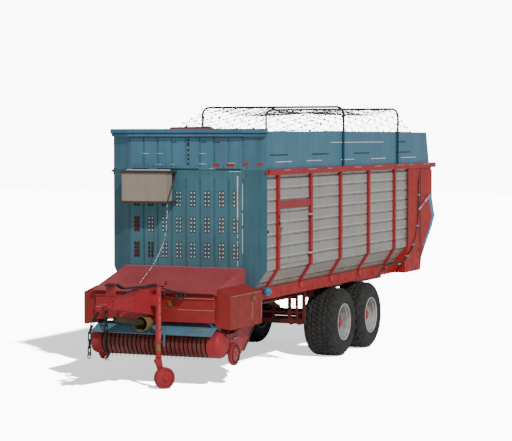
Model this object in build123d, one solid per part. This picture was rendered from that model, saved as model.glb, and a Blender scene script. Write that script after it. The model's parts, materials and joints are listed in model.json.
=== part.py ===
from build123d import *
import math
import os

os.makedirs("parts", exist_ok=True)

# Loader wagon. Millimetres. +X is the wagon's left side, -Y its drawbar, +Z up, floor at Z 0.
# The sub-parts are drawn with Y 0 at the front wall's outer corners and are moved
# along Y once, when they are written, so that the origin is under the middle of the wagon.

# Load body
HALF_WIDTH = 1213.0          # outer faces of the side posts
POST_DEPTH = 40.0
POST_WIDTH = 78.0
POST_YS = (486.0, 1786.0, 3075.0, 4398.0, 5713.0)
WALL_THICK = 26.0
RIB_PITCH = 168.0
GROOVE_WIDTH = 34.0
GROOVE_DEPTH = 12.0
KINK_Z = 1565.0              # the side walls lean inwards below this height
WALL_FOOT_Z = 1280.0
WALL_FOOT_HALF = 1030.0      # outer face of the side beams, where the posts stand
RAIL_BOTTOM_Z = 2913.0
RAIL_TOP_Z = 3000.0
RAIL_PROUD = 20.0            # how far the top rail stands out from the posts
RAIL_WIDTH = 68.0
RAIL_END_Y = 7935.0
TOP_PANEL_Z = 3540.0
TOP_PANEL_HALF = HALF_WIDTH - 18.0
TOP_PANEL_THICK = 24.0
TOP_PANEL_END_Y = (7640.0, 7480.0)   # at its foot and at its top edge
FIT_GAP = 0.3                # between pieces that seat on each other
MOVE_GAP = 10.0              # round pieces that move

# Front wall: a flat middle that stands proud and two corners that lean back
FRONT_MIDDLE_HALF = 896.0
FRONT_PROUD = 105.0
FRONT_THICK = 25.0
FRONT_RIB_PITCH = 223.5
FRONT_RIB_COUNT = 9
FRONT_GROOVE_WIDTH = 26.0
FRONT_GROOVE_DEPTH = 11.0
FRONT_RAIL_HEIGHT = 74.0
FRONT_RAIL_DEPTH = 62.0
FLAP_HALF = 400.0
FLAP_RISE = 70.0
FLAP_X = 100.0               # middle of the flap
VENT_ROWS = ((2572.0, 4), (2200.0, 4), (1830.0, 4))   # middle height and number of slots
VENT_SLOT = (16.0, 34.0)
VENT_PITCH = (56.0, 58.0)

# Chassis
BEAM_DEPTH_X = 70.0
BEAM_BOTTOM_Z = 1115.0
MEMBER_IN = 420.0            # inner faces of the two main members
MEMBER_OUT = 500.0
MEMBER_BOTTOM_Z = 950.0
MEMBER_TOP_Z = 1140.0
MEMBER_FRONT_Y = 560.0
CROSS_TOP_Z = 1215.0
CROSS_WIDTH = 80.0
CROSS_YS = (600.0, 1350.0, 2100.0, 2800.0, 3839.5, 4900.0, 6000.0)
FLOOR_FRONT_Y = 500.0
FLOOR_THICK = 12.0
SLAT_PITCH = 460.0
SLAT_WIDTH = 40.0
SLAT_HEIGHT = 24.0
CHAIN_XS = (120.0, 780.0)

# Cross frame that hangs under the floor and carries the floor's drive shaft
CARRIER_Y = CROSS_YS[2]
CARRIER_LOW_Z = (610.0, 668.0)
CARRIER_HIGH_Z = (757.0, 790.0)
CARRIER_HALF = 982.0
FLOOR_SHAFT = (788.0, 1030.0)     # X, Z
FLOOR_SHAFT_R = 26.0

# Rear corners and tailgate
CORNER_FRONT_Y = 6420.0
CORNER_FOOT_Y = 6235.0
GATE_LINE_Y = 7088.0
CORNER_BOTTOM_Z = 1110.0
SIDE_PLATE_THICK = 25.0
GATE_GAP = 12.0
GATE_HINGE_Y = 7715.0
GATE_HINGE_Z = 2845.0
GATE_BACK_Y = 7768.0
GATE_BULGE_Y = 7930.0
GATE_BULGE_Z = 2040.0
GATE_TOP_Z = 2893.0
GATE_PIN_R = 14.0
GATE_SKIN = 22.0
GATE_OUTER = (               # (y, z) line of the tailgate's back
    (GATE_BACK_Y, 2600.0),
    (GATE_BACK_Y, 2370.0),
    (GATE_BULGE_Y, GATE_BULGE_Z),
    (7765.0, 1850.0),
    (7400.0, 1545.0),
    (7165.0, 1330.0),
    (7108.0, 1130.0),
)
GATE_PLATE_BACK = ((7700.0, 2370.0), (7868.0, 2040.0), (7640.0, 1830.0))

# Running gear
WHEEL_YS = (3205.0, 4474.0)
WHEEL_R = 540.0
TYRE_WIDTH = 550.0
TYRE_OUT_X = 1240.0
TREAD_DEPTH = 17.0
LUG_COUNT = 20
LUG_SHARE = (0.34, 0.48)         # of the pitch, at the lug's top and foot
RIM_R = 292.0
HUB_R = 88.0
AXLE_R = 62.0
SPINDLE_R = 36.0

# Pickup, drawn raised as it is carried
PICKUP_PIVOT = (100.0, 800.0)     # Y, Z
REEL_AXIS = (-1000.0, 600.0)      # Y, Z
REEL_HALF = 790.0
REEL_TUBE_R = 62.0
TINE_BAR_R = 130.0
TINE_TIP_R = 230.0
TINE_BAR_COUNT = 5
BAND_COUNT = 24
BAND_PITCH = 66.0
BAND_WIDTH = 44.0
BAND_IN_R = 176.0
BAND_OUT_R = 190.0
BAND_TAIL = (262.0, 158.0)        # where the bands meet their cross bars, from the reel's axis
DRUM_HALF = (805.0, 945.0)        # inner end of the end covers and foot of their domes
DRUM_DOME = 90.0
ARM_HALF = (938.0, 956.0)
GAUGE_AXIS = (-690.0, 444.0)
GAUGE_R = 160.0
GAUGE_IN_X = 976.0
GAUGE_WIDTH = 66.0

# Feed rotor behind the pickup
ROTOR_AXIS = (120.0, 850.0)
ROTOR_TIP_R = 285.0
ROTOR_TUBE_R = 95.0
ROTOR_HALF = 760.0
ROTOR_STAR_COUNT = 8
ROTOR_STAR_THICK = 24.0
ROTOR_ARM = (                     # radius and lead in radians of an arm's corners
    (ROTOR_TUBE_R - 20, -0.45),
    (ROTOR_TIP_R, -0.03),
    (ROTOR_TIP_R, 0.06),
    (ROTOR_TUBE_R - 20, 0.5),
)
CHANNEL_GAP = 30.0
CHANNEL_SHEET = 12.0
CHANNEL_SIDE = (785.0, 803.0)

# Hood and side boxes round the front unit
HOOD_HALF = 930.0
HOOD_REAR_Y = -185.0
HOOD_TOP_Z = 1600.0
HOOD_FRONT_Y = -1190.0
HOOD_EDGE_Z = 1335.0
HOOD_SHEET = 8.0
FACE_Y = -1130.0
FACE_BOTTOM_Z = 905.0
BOX_OUT = 1130.0
BOX_FRONT_Y = -1090.0
BOX_REAR_Y = 20.0
BOX_TOP_IN_Z = 1375.0
BOX_TOP_OUT_Z = 1275.0
BOX_BOTTOM_Z = 815.0

# Drawbar, hitch and jack
DRAWBAR_HALF = 80.0
DRAWBAR_FRONT_Y = -2520.0
FRAME_BEAM_Y = (-620.0, -460.0)
FRAME_BEAM_Z = (1150.0, 1274.0)
EYE_Y = -2660.0
EYE_Z = 1262.0
EYE_BORE_R = 20.0
EYE_RING_R = 52.0
EYE_THICK = 30.0
JACK_X = 180.0
JACK_Y = -1385.0
JACK_TUBE_R = 42.0
JACK_LEG_R = 34.0
JACK_TOP_Z = 1405.0
JACK_TUBE_BOTTOM_Z = 630.0
JACK_TRAVEL = 150.0
CASTER_R = 150.0
CASTER_WIDTH = 90.0
CASTER_TRAIL = 60.0
CASTER_SWIVEL = -35.0         # degrees about the leg
PTO_FRONT = (-2330.0, 1045.0)     # Y, Z of the shaft's front yoke
PTO_REAR = (-1430.0, 905.0)
PTO_TUBE_R = 40.0
PTO_BORE_R = 17.5
PTO_BORE_DEPTH = 90.0
BELL_R = 104.0

# Safety chains: each hangs from the face over the edge of the baffle
CHAIN_WIRE = 14.0
CHAIN_LINK = (130.0, 52.0)        # length and width outside
CHAIN_PITCH = CHAIN_LINK[0] - 2 * CHAIN_WIRE + 2
CHAIN_ROUTES = (
    ((-735.0, -1172.0, 1112.0), (-662.0, -1324.0, 778.0), (-655.0, -1320.0, 365.0)),
    ((-872.0, -1176.0, 986.0), (-915.0, -1324.0, 768.0), (-926.0, -1320.0, 365.0)),
)

# Small pieces on the front
CONTROL_BOX_X = (-870.0, -160.0)
CONTROL_BOX_Z = (2540.0, 2940.0)
CONTROL_BOX_DEPTH = 190.0
CONTROL_FRAME_DEPTH = 310.0
COUPLING_XS = (-48.0, -16.0, 16.0, 48.0)
COUPLING_Z = 1500.0
HOSE_R = 10.0
ROPE_R = 4.0

ROPE_EYE_Z = 1384.0
# Route of the rope that hangs from the control box to the hood's front edge
ROPE_POINTS = [
    (-148.0, -418.0, 2509.7),
    (-147.0, -418.0, 2420.0),
    (-147.0, -420.0, 2320.0),
    (-148.0, -426.0, 2212.0),
    (-152.0, -448.0, 2108.0),
    (-158.0, -490.0, 2006.0),
    (-166.0, -545.0, 1910.0),
    (-175.0, -612.0, 1820.0),
    (-186.0, -688.0, 1736.0),
    (-197.0, -772.0, 1660.0),
    (-207.0, -862.0, 1592.0),
    (-218.0, -954.0, 1532.0),
    (-229.0, -1042.0, 1472.0),
    (-236.0, -1098.0, 1434.0),
    (-240.0, -1124.0, 1412.0),
    (-240.0, -1124.0, ROPE_EYE_Z + FIT_GAP),
]

HOOP_YS = (3150.0, 5825.0)
HOOP_R = 18.0
HOOP_BEND_R = 120.0
HOOP_TOP_Z = TOP_PANEL_Z + 390.0

Y_MIDDLE = (EYE_Y - EYE_RING_R + RAIL_END_Y) / 2.0

nodes = {}


def block(x, y, z):
    """Box between two corners, each axis given as a (low, high) pair."""
    centre = [(pair[0] + pair[1]) / 2 for pair in (x, y, z)]
    sides = [abs(pair[1] - pair[0]) for pair in (x, y, z)]
    return Pos(*centre) * Box(*sides)


def side_plate(outline, x):
    """Outline of (y, z) points extruded between the two values of x."""
    face = make_face(Polyline([(x[0], y, z) for y, z in outline], close=True))
    return extrude(face, amount=x[1] - x[0], dir=(1, 0, 0))


def cross_plate(outline, y):
    """Outline of (x, z) points extruded between the two values of y."""
    face = make_face(Polyline([(px, y[0], pz) for px, pz in outline], close=True))
    return extrude(face, amount=y[1] - y[0], dir=(0, 1, 0))


def plan_plate(outline, z):
    """Outline of (x, y) points extruded between the two values of z."""
    face = make_face(Polyline([(px, py, z[0]) for px, py in outline], close=True))
    return extrude(face, amount=z[1] - z[0], dir=(0, 0, 1))


def bar_x(radius, x, y, z):
    """Round bar along X between the two values of x."""
    return Pos((x[0] + x[1]) / 2, y, z) * Rot(0, 90, 0) * Cylinder(radius, x[1] - x[0])


def bar_y(radius, x, y, z):
    """Round bar along Y between the two values of y."""
    return Pos(x, (y[0] + y[1]) / 2, z) * Rot(90, 0, 0) * Cylinder(radius, y[1] - y[0])


def bar_z(radius, x, y, z):
    """Round bar along Z between the two values of z."""
    return Pos(x, y, (z[0] + z[1]) / 2) * Cylinder(radius, z[1] - z[0])


def rod(start, end, radius):
    """Round bar from one point to another."""
    path = Line(start, end)
    return sweep(Plane(origin=path @ 0, z_dir=path % 0) * Circle(radius), path=path)


def bent_tube(points, bends, radius):
    """Round tube along straight runs joined by tangent arcs."""
    path = FilletPolyline(*points, radius=bends)
    return sweep(Plane(origin=path @ 0, z_dir=path % 0) * Circle(radius), path=path)


def turned_x(profile, y, z):
    """Solid of revolution about the line along X at (y, z); profile of (x, radius) points."""
    face = make_face(Polyline([(px, y, z + r) for px, r in profile], close=True))
    return revolve(face, axis=Axis((0, y, z), (1, 0, 0)), revolution_arc=360)


def flip(part):
    """The same piece on the other side of the wagon."""
    return mirror(part, about=Plane.YZ)


def wall_outer_x(z, face_half):
    """X of a side surface at height z: upright above the kink, leaning in below it."""
    lean = HALF_WIDTH - WALL_FOOT_HALF
    return face_half if z >= KINK_Z else face_half - lean * (KINK_Z - z) / (KINK_Z - WALL_FOOT_Z)


def ribbed_profile(bottom_z, top_z):
    """(x, z) outline of a side wall: flat inside, shallow grooves outside."""
    outer = HALF_WIDTH - POST_DEPTH
    inner = outer - WALL_THICK
    heights = [bottom_z]
    if bottom_z < KINK_Z:
        heights.append(KINK_Z)
    inside = [(wall_outer_x(z, inner), z) for z in heights + [top_z]]
    outside = [(wall_outer_x(bottom_z, outer), bottom_z)]
    groove_z = WALL_FOOT_Z + RIB_PITCH / 2
    while groove_z < top_z - GROOVE_WIDTH:
        if groove_z > bottom_z + GROOVE_WIDTH:
            for step, depth in ((-0.5, 0), (-0.2, 1), (0.2, 1), (0.5, 0)):
                z = groove_z + step * GROOVE_WIDTH
                outside.append((wall_outer_x(z, outer - depth * GROOVE_DEPTH), z))
        groove_z += RIB_PITCH
        if groove_z > KINK_Z > groove_z - RIB_PITCH and bottom_z < KINK_Z:
            outside.append((outer, KINK_Z))
    outside.append((outer, top_z))
    return outside + inside[::-1]


DOOR_Y = (POST_YS[0] + POST_WIDTH / 2 + 6, POST_YS[1] - POST_WIDTH / 2 - 6)
DOOR_Z = (KINK_Z + 40.0, 2424.0)
DOOR_BAR_Z = (2432.0, 2532.0)
DOOR_HINGE = (HALF_WIDTH + 14.0, DOOR_Y[1] + 2.0)
DOOR_PIN_R = 6.0
DOOR_EYE_R = 12.0
DOOR_EYE_HALF = 16.0
DOOR_LUG = 18.0
DOOR_HINGE_ZS = (DOOR_Z[0] + 120.0, DOOR_Z[1] - 120.0)


def make_side_walls():
    """Ribbed walls; the left one is cut for the access door, which keeps the same ribs."""
    span = (FRONT_THICK + FIT_GAP, GATE_LINE_Y - 42)
    wall = cross_plate(ribbed_profile(WALL_FOOT_Z, RAIL_BOTTOM_Z), span)
    nodes["side_wall_right"] = flip(wall)
    gap = 6.0
    hole = block((0, HALF_WIDTH + 40), DOOR_Y, DOOR_Z)
    nodes["side_wall_left"] = wall - hole
    leaf = wall & block(
        (0, HALF_WIDTH + 40),
        (DOOR_Y[0] + gap, DOOR_Y[1] - gap),
        (DOOR_Z[0] + gap, DOOR_Z[1] - gap),
    )
    for z in DOOR_HINGE_ZS:
        strap_x = (HALF_WIDTH - POST_DEPTH - 14, DOOR_HINGE[0])
        span = (z - DOOR_EYE_HALF, z + DOOR_EYE_HALF)
        leaf += block(strap_x, (DOOR_Y[1] - 52, DOOR_Y[1] - 18), span)
        leaf += block((DOOR_HINGE[0] - 10, DOOR_HINGE[0]), (DOOR_Y[1] - 30, DOOR_HINGE[1]), span)
        leaf += bar_z(DOOR_EYE_R, *DOOR_HINGE, span)
        leaf -= bar_z(DOOR_PIN_R + FIT_GAP, *DOOR_HINGE, (z - 40, z + 40))
    handle_y = DOOR_Y[0] + 70
    leaf += block((HALF_WIDTH - POST_DEPTH - 6, HALF_WIDTH - 8), (handle_y - 14, handle_y + 14), (1950, 1990))
    leaf += block((HALF_WIDTH - 14, HALF_WIDTH - 2), (handle_y - 14, handle_y + 14), (1950, 2120))
    nodes["side_door"] = leaf


def make_side_frames():
    """Posts that follow the kink, the top rail, and the pins of the door and the tailgate."""
    frames = []
    for side in ("left", "right"):
        outline = []
        for half in (HALF_WIDTH, HALF_WIDTH - POST_DEPTH + FIT_GAP):
            column = [(wall_outer_x(z, half), z) for z in (WALL_FOOT_Z, KINK_Z)] + [(half, RAIL_BOTTOM_Z)]
            outline += column if not outline else column[::-1]
        frame = block(
            (HALF_WIDTH + RAIL_PROUD - RAIL_WIDTH, HALF_WIDTH + RAIL_PROUD),
            (FRONT_THICK + FIT_GAP, RAIL_END_Y),
            (RAIL_BOTTOM_Z, RAIL_TOP_Z),
        )
        for y in POST_YS:
            frame += cross_plate(outline, (y - POST_WIDTH / 2, y + POST_WIDTH / 2))
        if side == "left":
            frame += block(
                (HALF_WIDTH - POST_DEPTH + FIT_GAP, HALF_WIDTH - 8),
                (POST_YS[0], POST_YS[1]),
                DOOR_BAR_Z,
            )
            for z in DOOR_HINGE_ZS:
                for end in (z - DOOR_EYE_HALF - 6 - DOOR_LUG, z + DOOR_EYE_HALF + 6):
                    frame += block(
                        (HALF_WIDTH - 10, DOOR_HINGE[0] + DOOR_EYE_R),
                        (DOOR_HINGE[1] - DOOR_EYE_R, POST_YS[1] - POST_WIDTH / 2 + 10),
                        (end, end + DOOR_LUG),
                    )
                frame += bar_z(DOOR_PIN_R, *DOOR_HINGE, (z - DOOR_EYE_HALF - 8, z + DOOR_EYE_HALF + 8))
        lug_x = (HALF_WIDTH - SIDE_PLATE_THICK - 38, HALF_WIDTH - SIDE_PLATE_THICK - 8)
        frame += block(lug_x, (GATE_HINGE_Y - 30, GATE_HINGE_Y + 30), (GATE_HINGE_Z - 34, RAIL_BOTTOM_Z + 4))
        frame += bar_x(GATE_PIN_R, (lug_x[0], HALF_WIDTH - 2), GATE_HINGE_Y, GATE_HINGE_Z)
        frames.append(frame if side == "left" else flip(frame))
    nodes["side_frames"] = Compound(children=frames)


def front_plan(offset):
    """(x, y) line of the front wall, moved outwards by offset."""
    return [
        (-HALF_WIDTH, -offset),
        (-FRONT_MIDDLE_HALF, -FRONT_PROUD - offset),
        (FRONT_MIDDLE_HALF, -FRONT_PROUD - offset),
        (HALF_WIDTH, -offset),
    ]


def vent_slots(first_x):
    """Slots through the front wall: pairs of short columns between the grooves."""
    slots = []
    width, height = VENT_SLOT
    for column in range(FRONT_RIB_COUNT - 1):
        for offset in (-0.5, 0.5):
            x = first_x + column * FRONT_RIB_PITCH + offset * VENT_PITCH[0]
            for middle, count in VENT_ROWS:
                for step in range(count):
                    z = middle + (step - (count - 1) / 2) * VENT_PITCH[1]
                    slots.append(
                        block(
                            (x - width / 2, x + width / 2),
                            (-FRONT_PROUD - 5, -FRONT_PROUD + FRONT_THICK + 5),
                            (z - height / 2, z + height / 2),
                        )
                    )
    return slots


def make_front_wall():
    """Folded front wall with upright grooves, its upper part and the rail on top."""
    plan = front_plan(0) + front_plan(-FRONT_THICK)[::-1]
    wall = plan_plate(plan, (WALL_FOOT_Z, RAIL_BOTTOM_Z + 80))
    for side in (-1, 1):
        corner = [
            (side * HALF_WIDTH * 1.05, WALL_FOOT_Z - 10),
            (side * HALF_WIDTH * 1.05, KINK_Z),
            (side * HALF_WIDTH, KINK_Z),
            (side * WALL_FOOT_HALF, WALL_FOOT_Z),
            (side * WALL_FOOT_HALF, WALL_FOOT_Z - 10),
        ]
        wall -= cross_plate(corner, (-FRONT_PROUD - 20, FRONT_THICK + 20))
    upper = plan_plate(plan, (RAIL_BOTTOM_Z + 80 + FIT_GAP, TOP_PANEL_Z))
    first = -(FRONT_RIB_COUNT - 1) / 2 * FRONT_RIB_PITCH
    for number in range(FRONT_RIB_COUNT):
        x = first + number * FRONT_RIB_PITCH
        groove = block(
            (x - FRONT_GROOVE_WIDTH / 2, x + FRONT_GROOVE_WIDTH / 2),
            (-FRONT_PROUD - 1, -FRONT_PROUD + FRONT_GROOVE_DEPTH),
            (WALL_FOOT_Z + 30, TOP_PANEL_Z - 40),
        )
        wall -= groove & block((-HALF_WIDTH, HALF_WIDTH), (-200, 0), (0, RAIL_BOTTOM_Z - 60))
        upper -= groove & block((-HALF_WIDTH, HALF_WIDTH), (-200, 0), (RAIL_TOP_Z + 40, TOP_PANEL_Z))
    wall -= block(
        (-FRONT_MIDDLE_HALF, FRONT_MIDDLE_HALF),
        (-FRONT_PROUD - 1, -FRONT_PROUD + 7),
        (RAIL_BOTTOM_Z + 66, RAIL_BOTTOM_Z + 81),
    )
    wall -= vent_slots(first + FRONT_RIB_PITCH / 2)
    rail_plan = front_plan(FRONT_RAIL_DEPTH) + front_plan(FIT_GAP)[::-1]
    upper += plan_plate(rail_plan, (TOP_PANEL_Z - FRONT_RAIL_HEIGHT, TOP_PANEL_Z)) + plan_plate(
        front_plan(FIT_GAP * 2) + front_plan(-FRONT_THICK)[::-1],
        (TOP_PANEL_Z - FRONT_RAIL_HEIGHT, TOP_PANEL_Z),
    )
    nodes["front_wall"] = wall
    nodes["front_top"] = upper
    back = -FRONT_PROUD + FRONT_THICK + FIT_GAP
    flap = cross_plate(
        [
            (FLAP_X - FLAP_HALF, TOP_PANEL_Z - 120),
            (FLAP_X + FLAP_HALF, TOP_PANEL_Z - 120),
            (FLAP_X + FLAP_HALF, TOP_PANEL_Z),
            (FLAP_X + FLAP_HALF * 0.66, TOP_PANEL_Z + FLAP_RISE),
            (FLAP_X - FLAP_HALF * 0.88, TOP_PANEL_Z + FLAP_RISE - 8),
            (FLAP_X - FLAP_HALF, TOP_PANEL_Z),
        ],
        (back, back + 40),
    )
    nodes["loading_flap"] = flap


def make_top_panels():
    """Blue panels on the top rails, with the two hoops outside them."""
    foot = RAIL_TOP_Z + FIT_GAP
    outline = [
        (FRONT_THICK + FIT_GAP, foot),
        (TOP_PANEL_END_Y[0], foot),
        (TOP_PANEL_END_Y[1], TOP_PANEL_Z),
        (FRONT_THICK + FIT_GAP, TOP_PANEL_Z),
    ]
    panel = side_plate(outline, (TOP_PANEL_HALF - TOP_PANEL_THICK, TOP_PANEL_HALF))
    lip = block(
        (TOP_PANEL_HALF - TOP_PANEL_THICK - 14, TOP_PANEL_HALF - TOP_PANEL_THICK + 1),
        (FRONT_THICK + FIT_GAP, TOP_PANEL_END_Y[1] - 20),
        (TOP_PANEL_Z - 40, TOP_PANEL_Z),
    )
    nodes["top_panels"] = Compound(children=[panel + lip, flip(panel + lip)])
    hoops = []
    leg_x = TOP_PANEL_HALF + HOOP_R + FIT_GAP
    for y in HOOP_YS:
        points = [
            (-leg_x, y, RAIL_TOP_Z + FIT_GAP),
            (-leg_x, y, HOOP_TOP_Z),
            (leg_x, y, HOOP_TOP_Z),
            (leg_x, y, RAIL_TOP_Z + FIT_GAP),
        ]
        hoops.append(bent_tube(points, [HOOP_BEND_R, HOOP_BEND_R], HOOP_R))
    nodes["roof_hoops"] = Compound(children=hoops)


def make_chassis():
    """Side beams and main members, the cross members on them, the front frame and the pickup hangers."""
    beam_in = WALL_FOOT_HALF - BEAM_DEPTH_X
    beams = []
    front = [block((-912, 912), FRAME_BEAM_Y, FRAME_BEAM_Z)]
    hangers = []
    for side in (-1, 1):
        beams.append(
            block(
                (side * WALL_FOOT_HALF, side * beam_in),
                (-30, GATE_LINE_Y - 30),
                (BEAM_BOTTOM_Z, WALL_FOOT_Z - FIT_GAP),
            )
        )
        beams.append(
            block(
                (side * MEMBER_IN, side * MEMBER_OUT),
                (MEMBER_FRONT_Y, GATE_LINE_Y - 30),
                (MEMBER_BOTTOM_Z, MEMBER_TOP_Z),
            )
        )
        arm = side_plate(
            [
                (FRAME_BEAM_Y[1] + FIT_GAP, FRAME_BEAM_Z[0] - 9),
                (-28 - FIT_GAP, BEAM_BOTTOM_Z + 2),
                (-28 - FIT_GAP, WALL_FOOT_Z - 6),
                (FRAME_BEAM_Y[1] + FIT_GAP, FRAME_BEAM_Z[1]),
            ],
            (880.0, 912.0),
        )
        link = block((880, beam_in - FIT_GAP), (-28, 60), (BEAM_BOTTOM_Z, WALL_FOOT_Z - 2))
        front += [arm, link] if side == 1 else [flip(arm), flip(link)]
        plate_x = (ARM_HALF[0] - 24, ARM_HALF[0] - 6)
        hanger = side_plate(
            [
                (PICKUP_PIVOT[0] - 110, BEAM_BOTTOM_Z - FIT_GAP),
                (PICKUP_PIVOT[0] - 55, PICKUP_PIVOT[1] - 45),
                (PICKUP_PIVOT[0] + 55, PICKUP_PIVOT[1] - 45),
                (PICKUP_PIVOT[0] + 110, BEAM_BOTTOM_Z - FIT_GAP),
            ],
            plate_x,
        )
        hanger += block(
            (plate_x[0], beam_in + 50),
            (PICKUP_PIVOT[0] - 110, PICKUP_PIVOT[0] + 110),
            (BEAM_BOTTOM_Z - 14, BEAM_BOTTOM_Z - FIT_GAP),
        )
        hanger += bar_x(SPINDLE_R, (plate_x[0], ARM_HALF[1] + 6), *PICKUP_PIVOT)
        hangers.append(hanger if side == 1 else flip(hanger))
    nodes["main_beams"] = Compound(children=beams)
    nodes["front_frame"] = Compound(children=front)
    nodes["pickup_hangers"] = Compound(children=hangers)
    members = []
    for y in CROSS_YS:
        members.append(
            block(
                (-beam_in + FIT_GAP, beam_in - FIT_GAP),
                (y - CROSS_WIDTH / 2, y + CROSS_WIDTH / 2),
                (MEMBER_TOP_Z + FIT_GAP, CROSS_TOP_Z),
            )
        )
    nodes["cross_members"] = Compound(children=members)


def make_floor():
    """Floor sheet, and the chains and slats of the scraper that moves the load."""
    top = CROSS_TOP_Z + FIT_GAP + FLOOR_THICK
    inner = WALL_FOOT_HALF - BEAM_DEPTH_X - 4
    span = (FLOOR_FRONT_Y, GATE_LINE_Y - 30)
    nodes["load_floor"] = block((-inner, inner), span, (CROSS_TOP_Z + FIT_GAP, top))
    seat = top + FIT_GAP
    scraper = None
    for side in (-1, 1):
        for x in CHAIN_XS:
            chain = block(
                (side * x - 12, side * x + 12), (FLOOR_FRONT_Y + 60, GATE_LINE_Y - 60), (seat, seat + 10)
            )
            scraper = chain if scraper is None else scraper + chain
        slat_y = FLOOR_FRONT_Y + 200
        while slat_y < GATE_LINE_Y - 120:
            scraper += block(
                (side * (CHAIN_XS[0] - 40), side * (CHAIN_XS[1] + 60)),
                (slat_y - SLAT_WIDTH / 2, slat_y + SLAT_WIDTH / 2),
                (seat, seat + SLAT_HEIGHT),
            )
            slat_y += SLAT_PITCH
    nodes["scraper_slats"] = scraper


def make_rear():
    """Rear corner plates and the beam between them."""
    corner = [
        (CORNER_FRONT_Y, RAIL_BOTTOM_Z - FIT_GAP),
        (CORNER_FRONT_Y, KINK_Z),
        (CORNER_FOOT_Y, WALL_FOOT_Z),
        (CORNER_FOOT_Y, CORNER_BOTTOM_Z),
        (GATE_LINE_Y, CORNER_BOTTOM_Z),
        (GATE_LINE_Y, RAIL_BOTTOM_Z - FIT_GAP),
    ]
    frame = block(
        (-HALF_WIDTH + 1, HALF_WIDTH - 1),
        (GATE_LINE_Y - 90, GATE_LINE_Y - 30 + 18),
        (CORNER_BOTTOM_Z + 2, WALL_FOOT_Z - 70),
    )
    load_space = (-WALL_FOOT_HALF - 1, WALL_FOOT_HALF + 1)
    frame -= block(load_space, (0, GATE_LINE_Y - 30 + FIT_GAP), (BEAM_BOTTOM_Z - 5, 2000))
    plate_x = (HALF_WIDTH - SIDE_PLATE_THICK, HALF_WIDTH)
    wall_x = HALF_WIDTH - POST_DEPTH + FIT_GAP
    edge = side_plate(
        [
            (CORNER_FRONT_Y, KINK_Z + 30),
            (CORNER_FRONT_Y, KINK_Z),
            (CORNER_FOOT_Y, WALL_FOOT_Z),
            (CORNER_FOOT_Y, CORNER_BOTTOM_Z),
            (CORNER_FOOT_Y + 14, CORNER_BOTTOM_Z),
            (CORNER_FOOT_Y + 14, WALL_FOOT_Z - 4),
            (CORNER_FRONT_Y + 14, KINK_Z - 4),
            (CORNER_FRONT_Y + 14, KINK_Z + 30),
        ],
        (WALL_FOOT_HALF - 60, HALF_WIDTH - 1),
    )
    edge &= cross_plate(
        [
            (WALL_FOOT_HALF + FIT_GAP, CORNER_BOTTOM_Z),
            (WALL_FOOT_HALF + FIT_GAP, WALL_FOOT_Z + 1),
            (wall_outer_x(WALL_FOOT_Z + 1, wall_x), WALL_FOOT_Z + 1),
            (wall_x, KINK_Z),
            (wall_x, KINK_Z + 30),
            (HALF_WIDTH - 1, KINK_Z + 30),
            (HALF_WIDTH - 1, CORNER_BOTTOM_Z),
        ],
        (CORNER_FOOT_Y - 10, CORNER_FRONT_Y + 30),
    )
    for side in (-1, 1):
        plate = side_plate(corner, plate_x) + edge
        plate += block(
            (HALF_WIDTH - 70, HALF_WIDTH - 2),
            (GATE_LINE_Y - 40, GATE_LINE_Y),
            (CORNER_BOTTOM_Z, RAIL_BOTTOM_Z - 1),
        )
        plate += block(
            (WALL_FOOT_HALF + FIT_GAP, HALF_WIDTH - 2),
            (CORNER_FOOT_Y + 20, GATE_LINE_Y),
            (CORNER_BOTTOM_Z, CORNER_BOTTOM_Z + 14),
        )
        frame += plate if side == 1 else flip(plate)
    nodes["rear_frame"] = frame


def make_tailgate():
    """Tailgate hinged at the top, bulging rearwards, open towards the load."""
    front = GATE_LINE_Y + GATE_GAP
    outline = [(front, 1130.0), (front, GATE_TOP_Z), (GATE_HINGE_Y - 15, GATE_TOP_Z)]
    outline += [(GATE_BACK_Y, GATE_HINGE_Z + 10), GATE_OUTER[0], *GATE_PLATE_BACK, *GATE_OUTER[4:]]
    plate_x = (HALF_WIDTH - SIDE_PLATE_THICK, HALF_WIDTH)
    hole_x = (plate_x[0] - 40, plate_x[1] + 40)
    plate = side_plate(outline, plate_x) - bar_x(GATE_PIN_R + FIT_GAP, hole_x, GATE_HINGE_Y, GATE_HINGE_Z)
    nodes["tailgate_sides"] = Compound(children=[plate, flip(plate)])
    outer = [(GATE_BACK_Y, GATE_HINGE_Z - 95), *GATE_OUTER[1:]]
    inner = []
    for number, (y, z) in enumerate(outer):
        ahead = outer[min(number + 1, len(outer) - 1)]
        behind = outer[max(number - 1, 0)]
        run = (ahead[0] - behind[0], ahead[1] - behind[1])
        length = math.hypot(*run)
        inner.append((y + run[1] / length * GATE_SKIN, z - run[0] / length * GATE_SKIN))
    half = plate_x[0] - FIT_GAP
    skin = side_plate(outer + inner[::-1], (-half, half))
    skin &= block((-half, half), (front, GATE_BULGE_Y + 10), (0, GATE_TOP_Z))
    (high_y, high_z), *middle, (low_y, low_z) = GATE_OUTER[:5]
    flange = [(high_y, high_z - 3), *middle, (low_y + 3, low_z + 2.5)]
    flange += [(y + FIT_GAP, z - FIT_GAP) for y, z in GATE_PLATE_BACK[::-1]]
    rim = side_plate(flange, (half - 1, HALF_WIDTH))
    nodes["tailgate_skin"] = skin + rim + flip(rim)


def tread_row(x, stagger):
    """Lugs of one half of the tread: a toothed outline about the X axis between the values of x."""
    points = []
    flat = math.cos(math.radians(LUG_SHARE[0] * 180 / LUG_COUNT))
    for number in range(LUG_COUNT):
        for share, radius in zip((-1, -1, 1, 1), (0, 1, 1, 0)):
            turn = number + stagger + share * LUG_SHARE[1 - radius] / 2
            angle = math.radians(turn * 360 / LUG_COUNT - 90)
            reach = WHEEL_R / flat if radius else WHEEL_R - TREAD_DEPTH
            points.append((reach * math.cos(angle), reach * math.sin(angle)))
    return side_plate(points, x) - bar_x(WHEEL_R - 100, (x[0] - 1, x[1] + 1), 0, 0)


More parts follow.
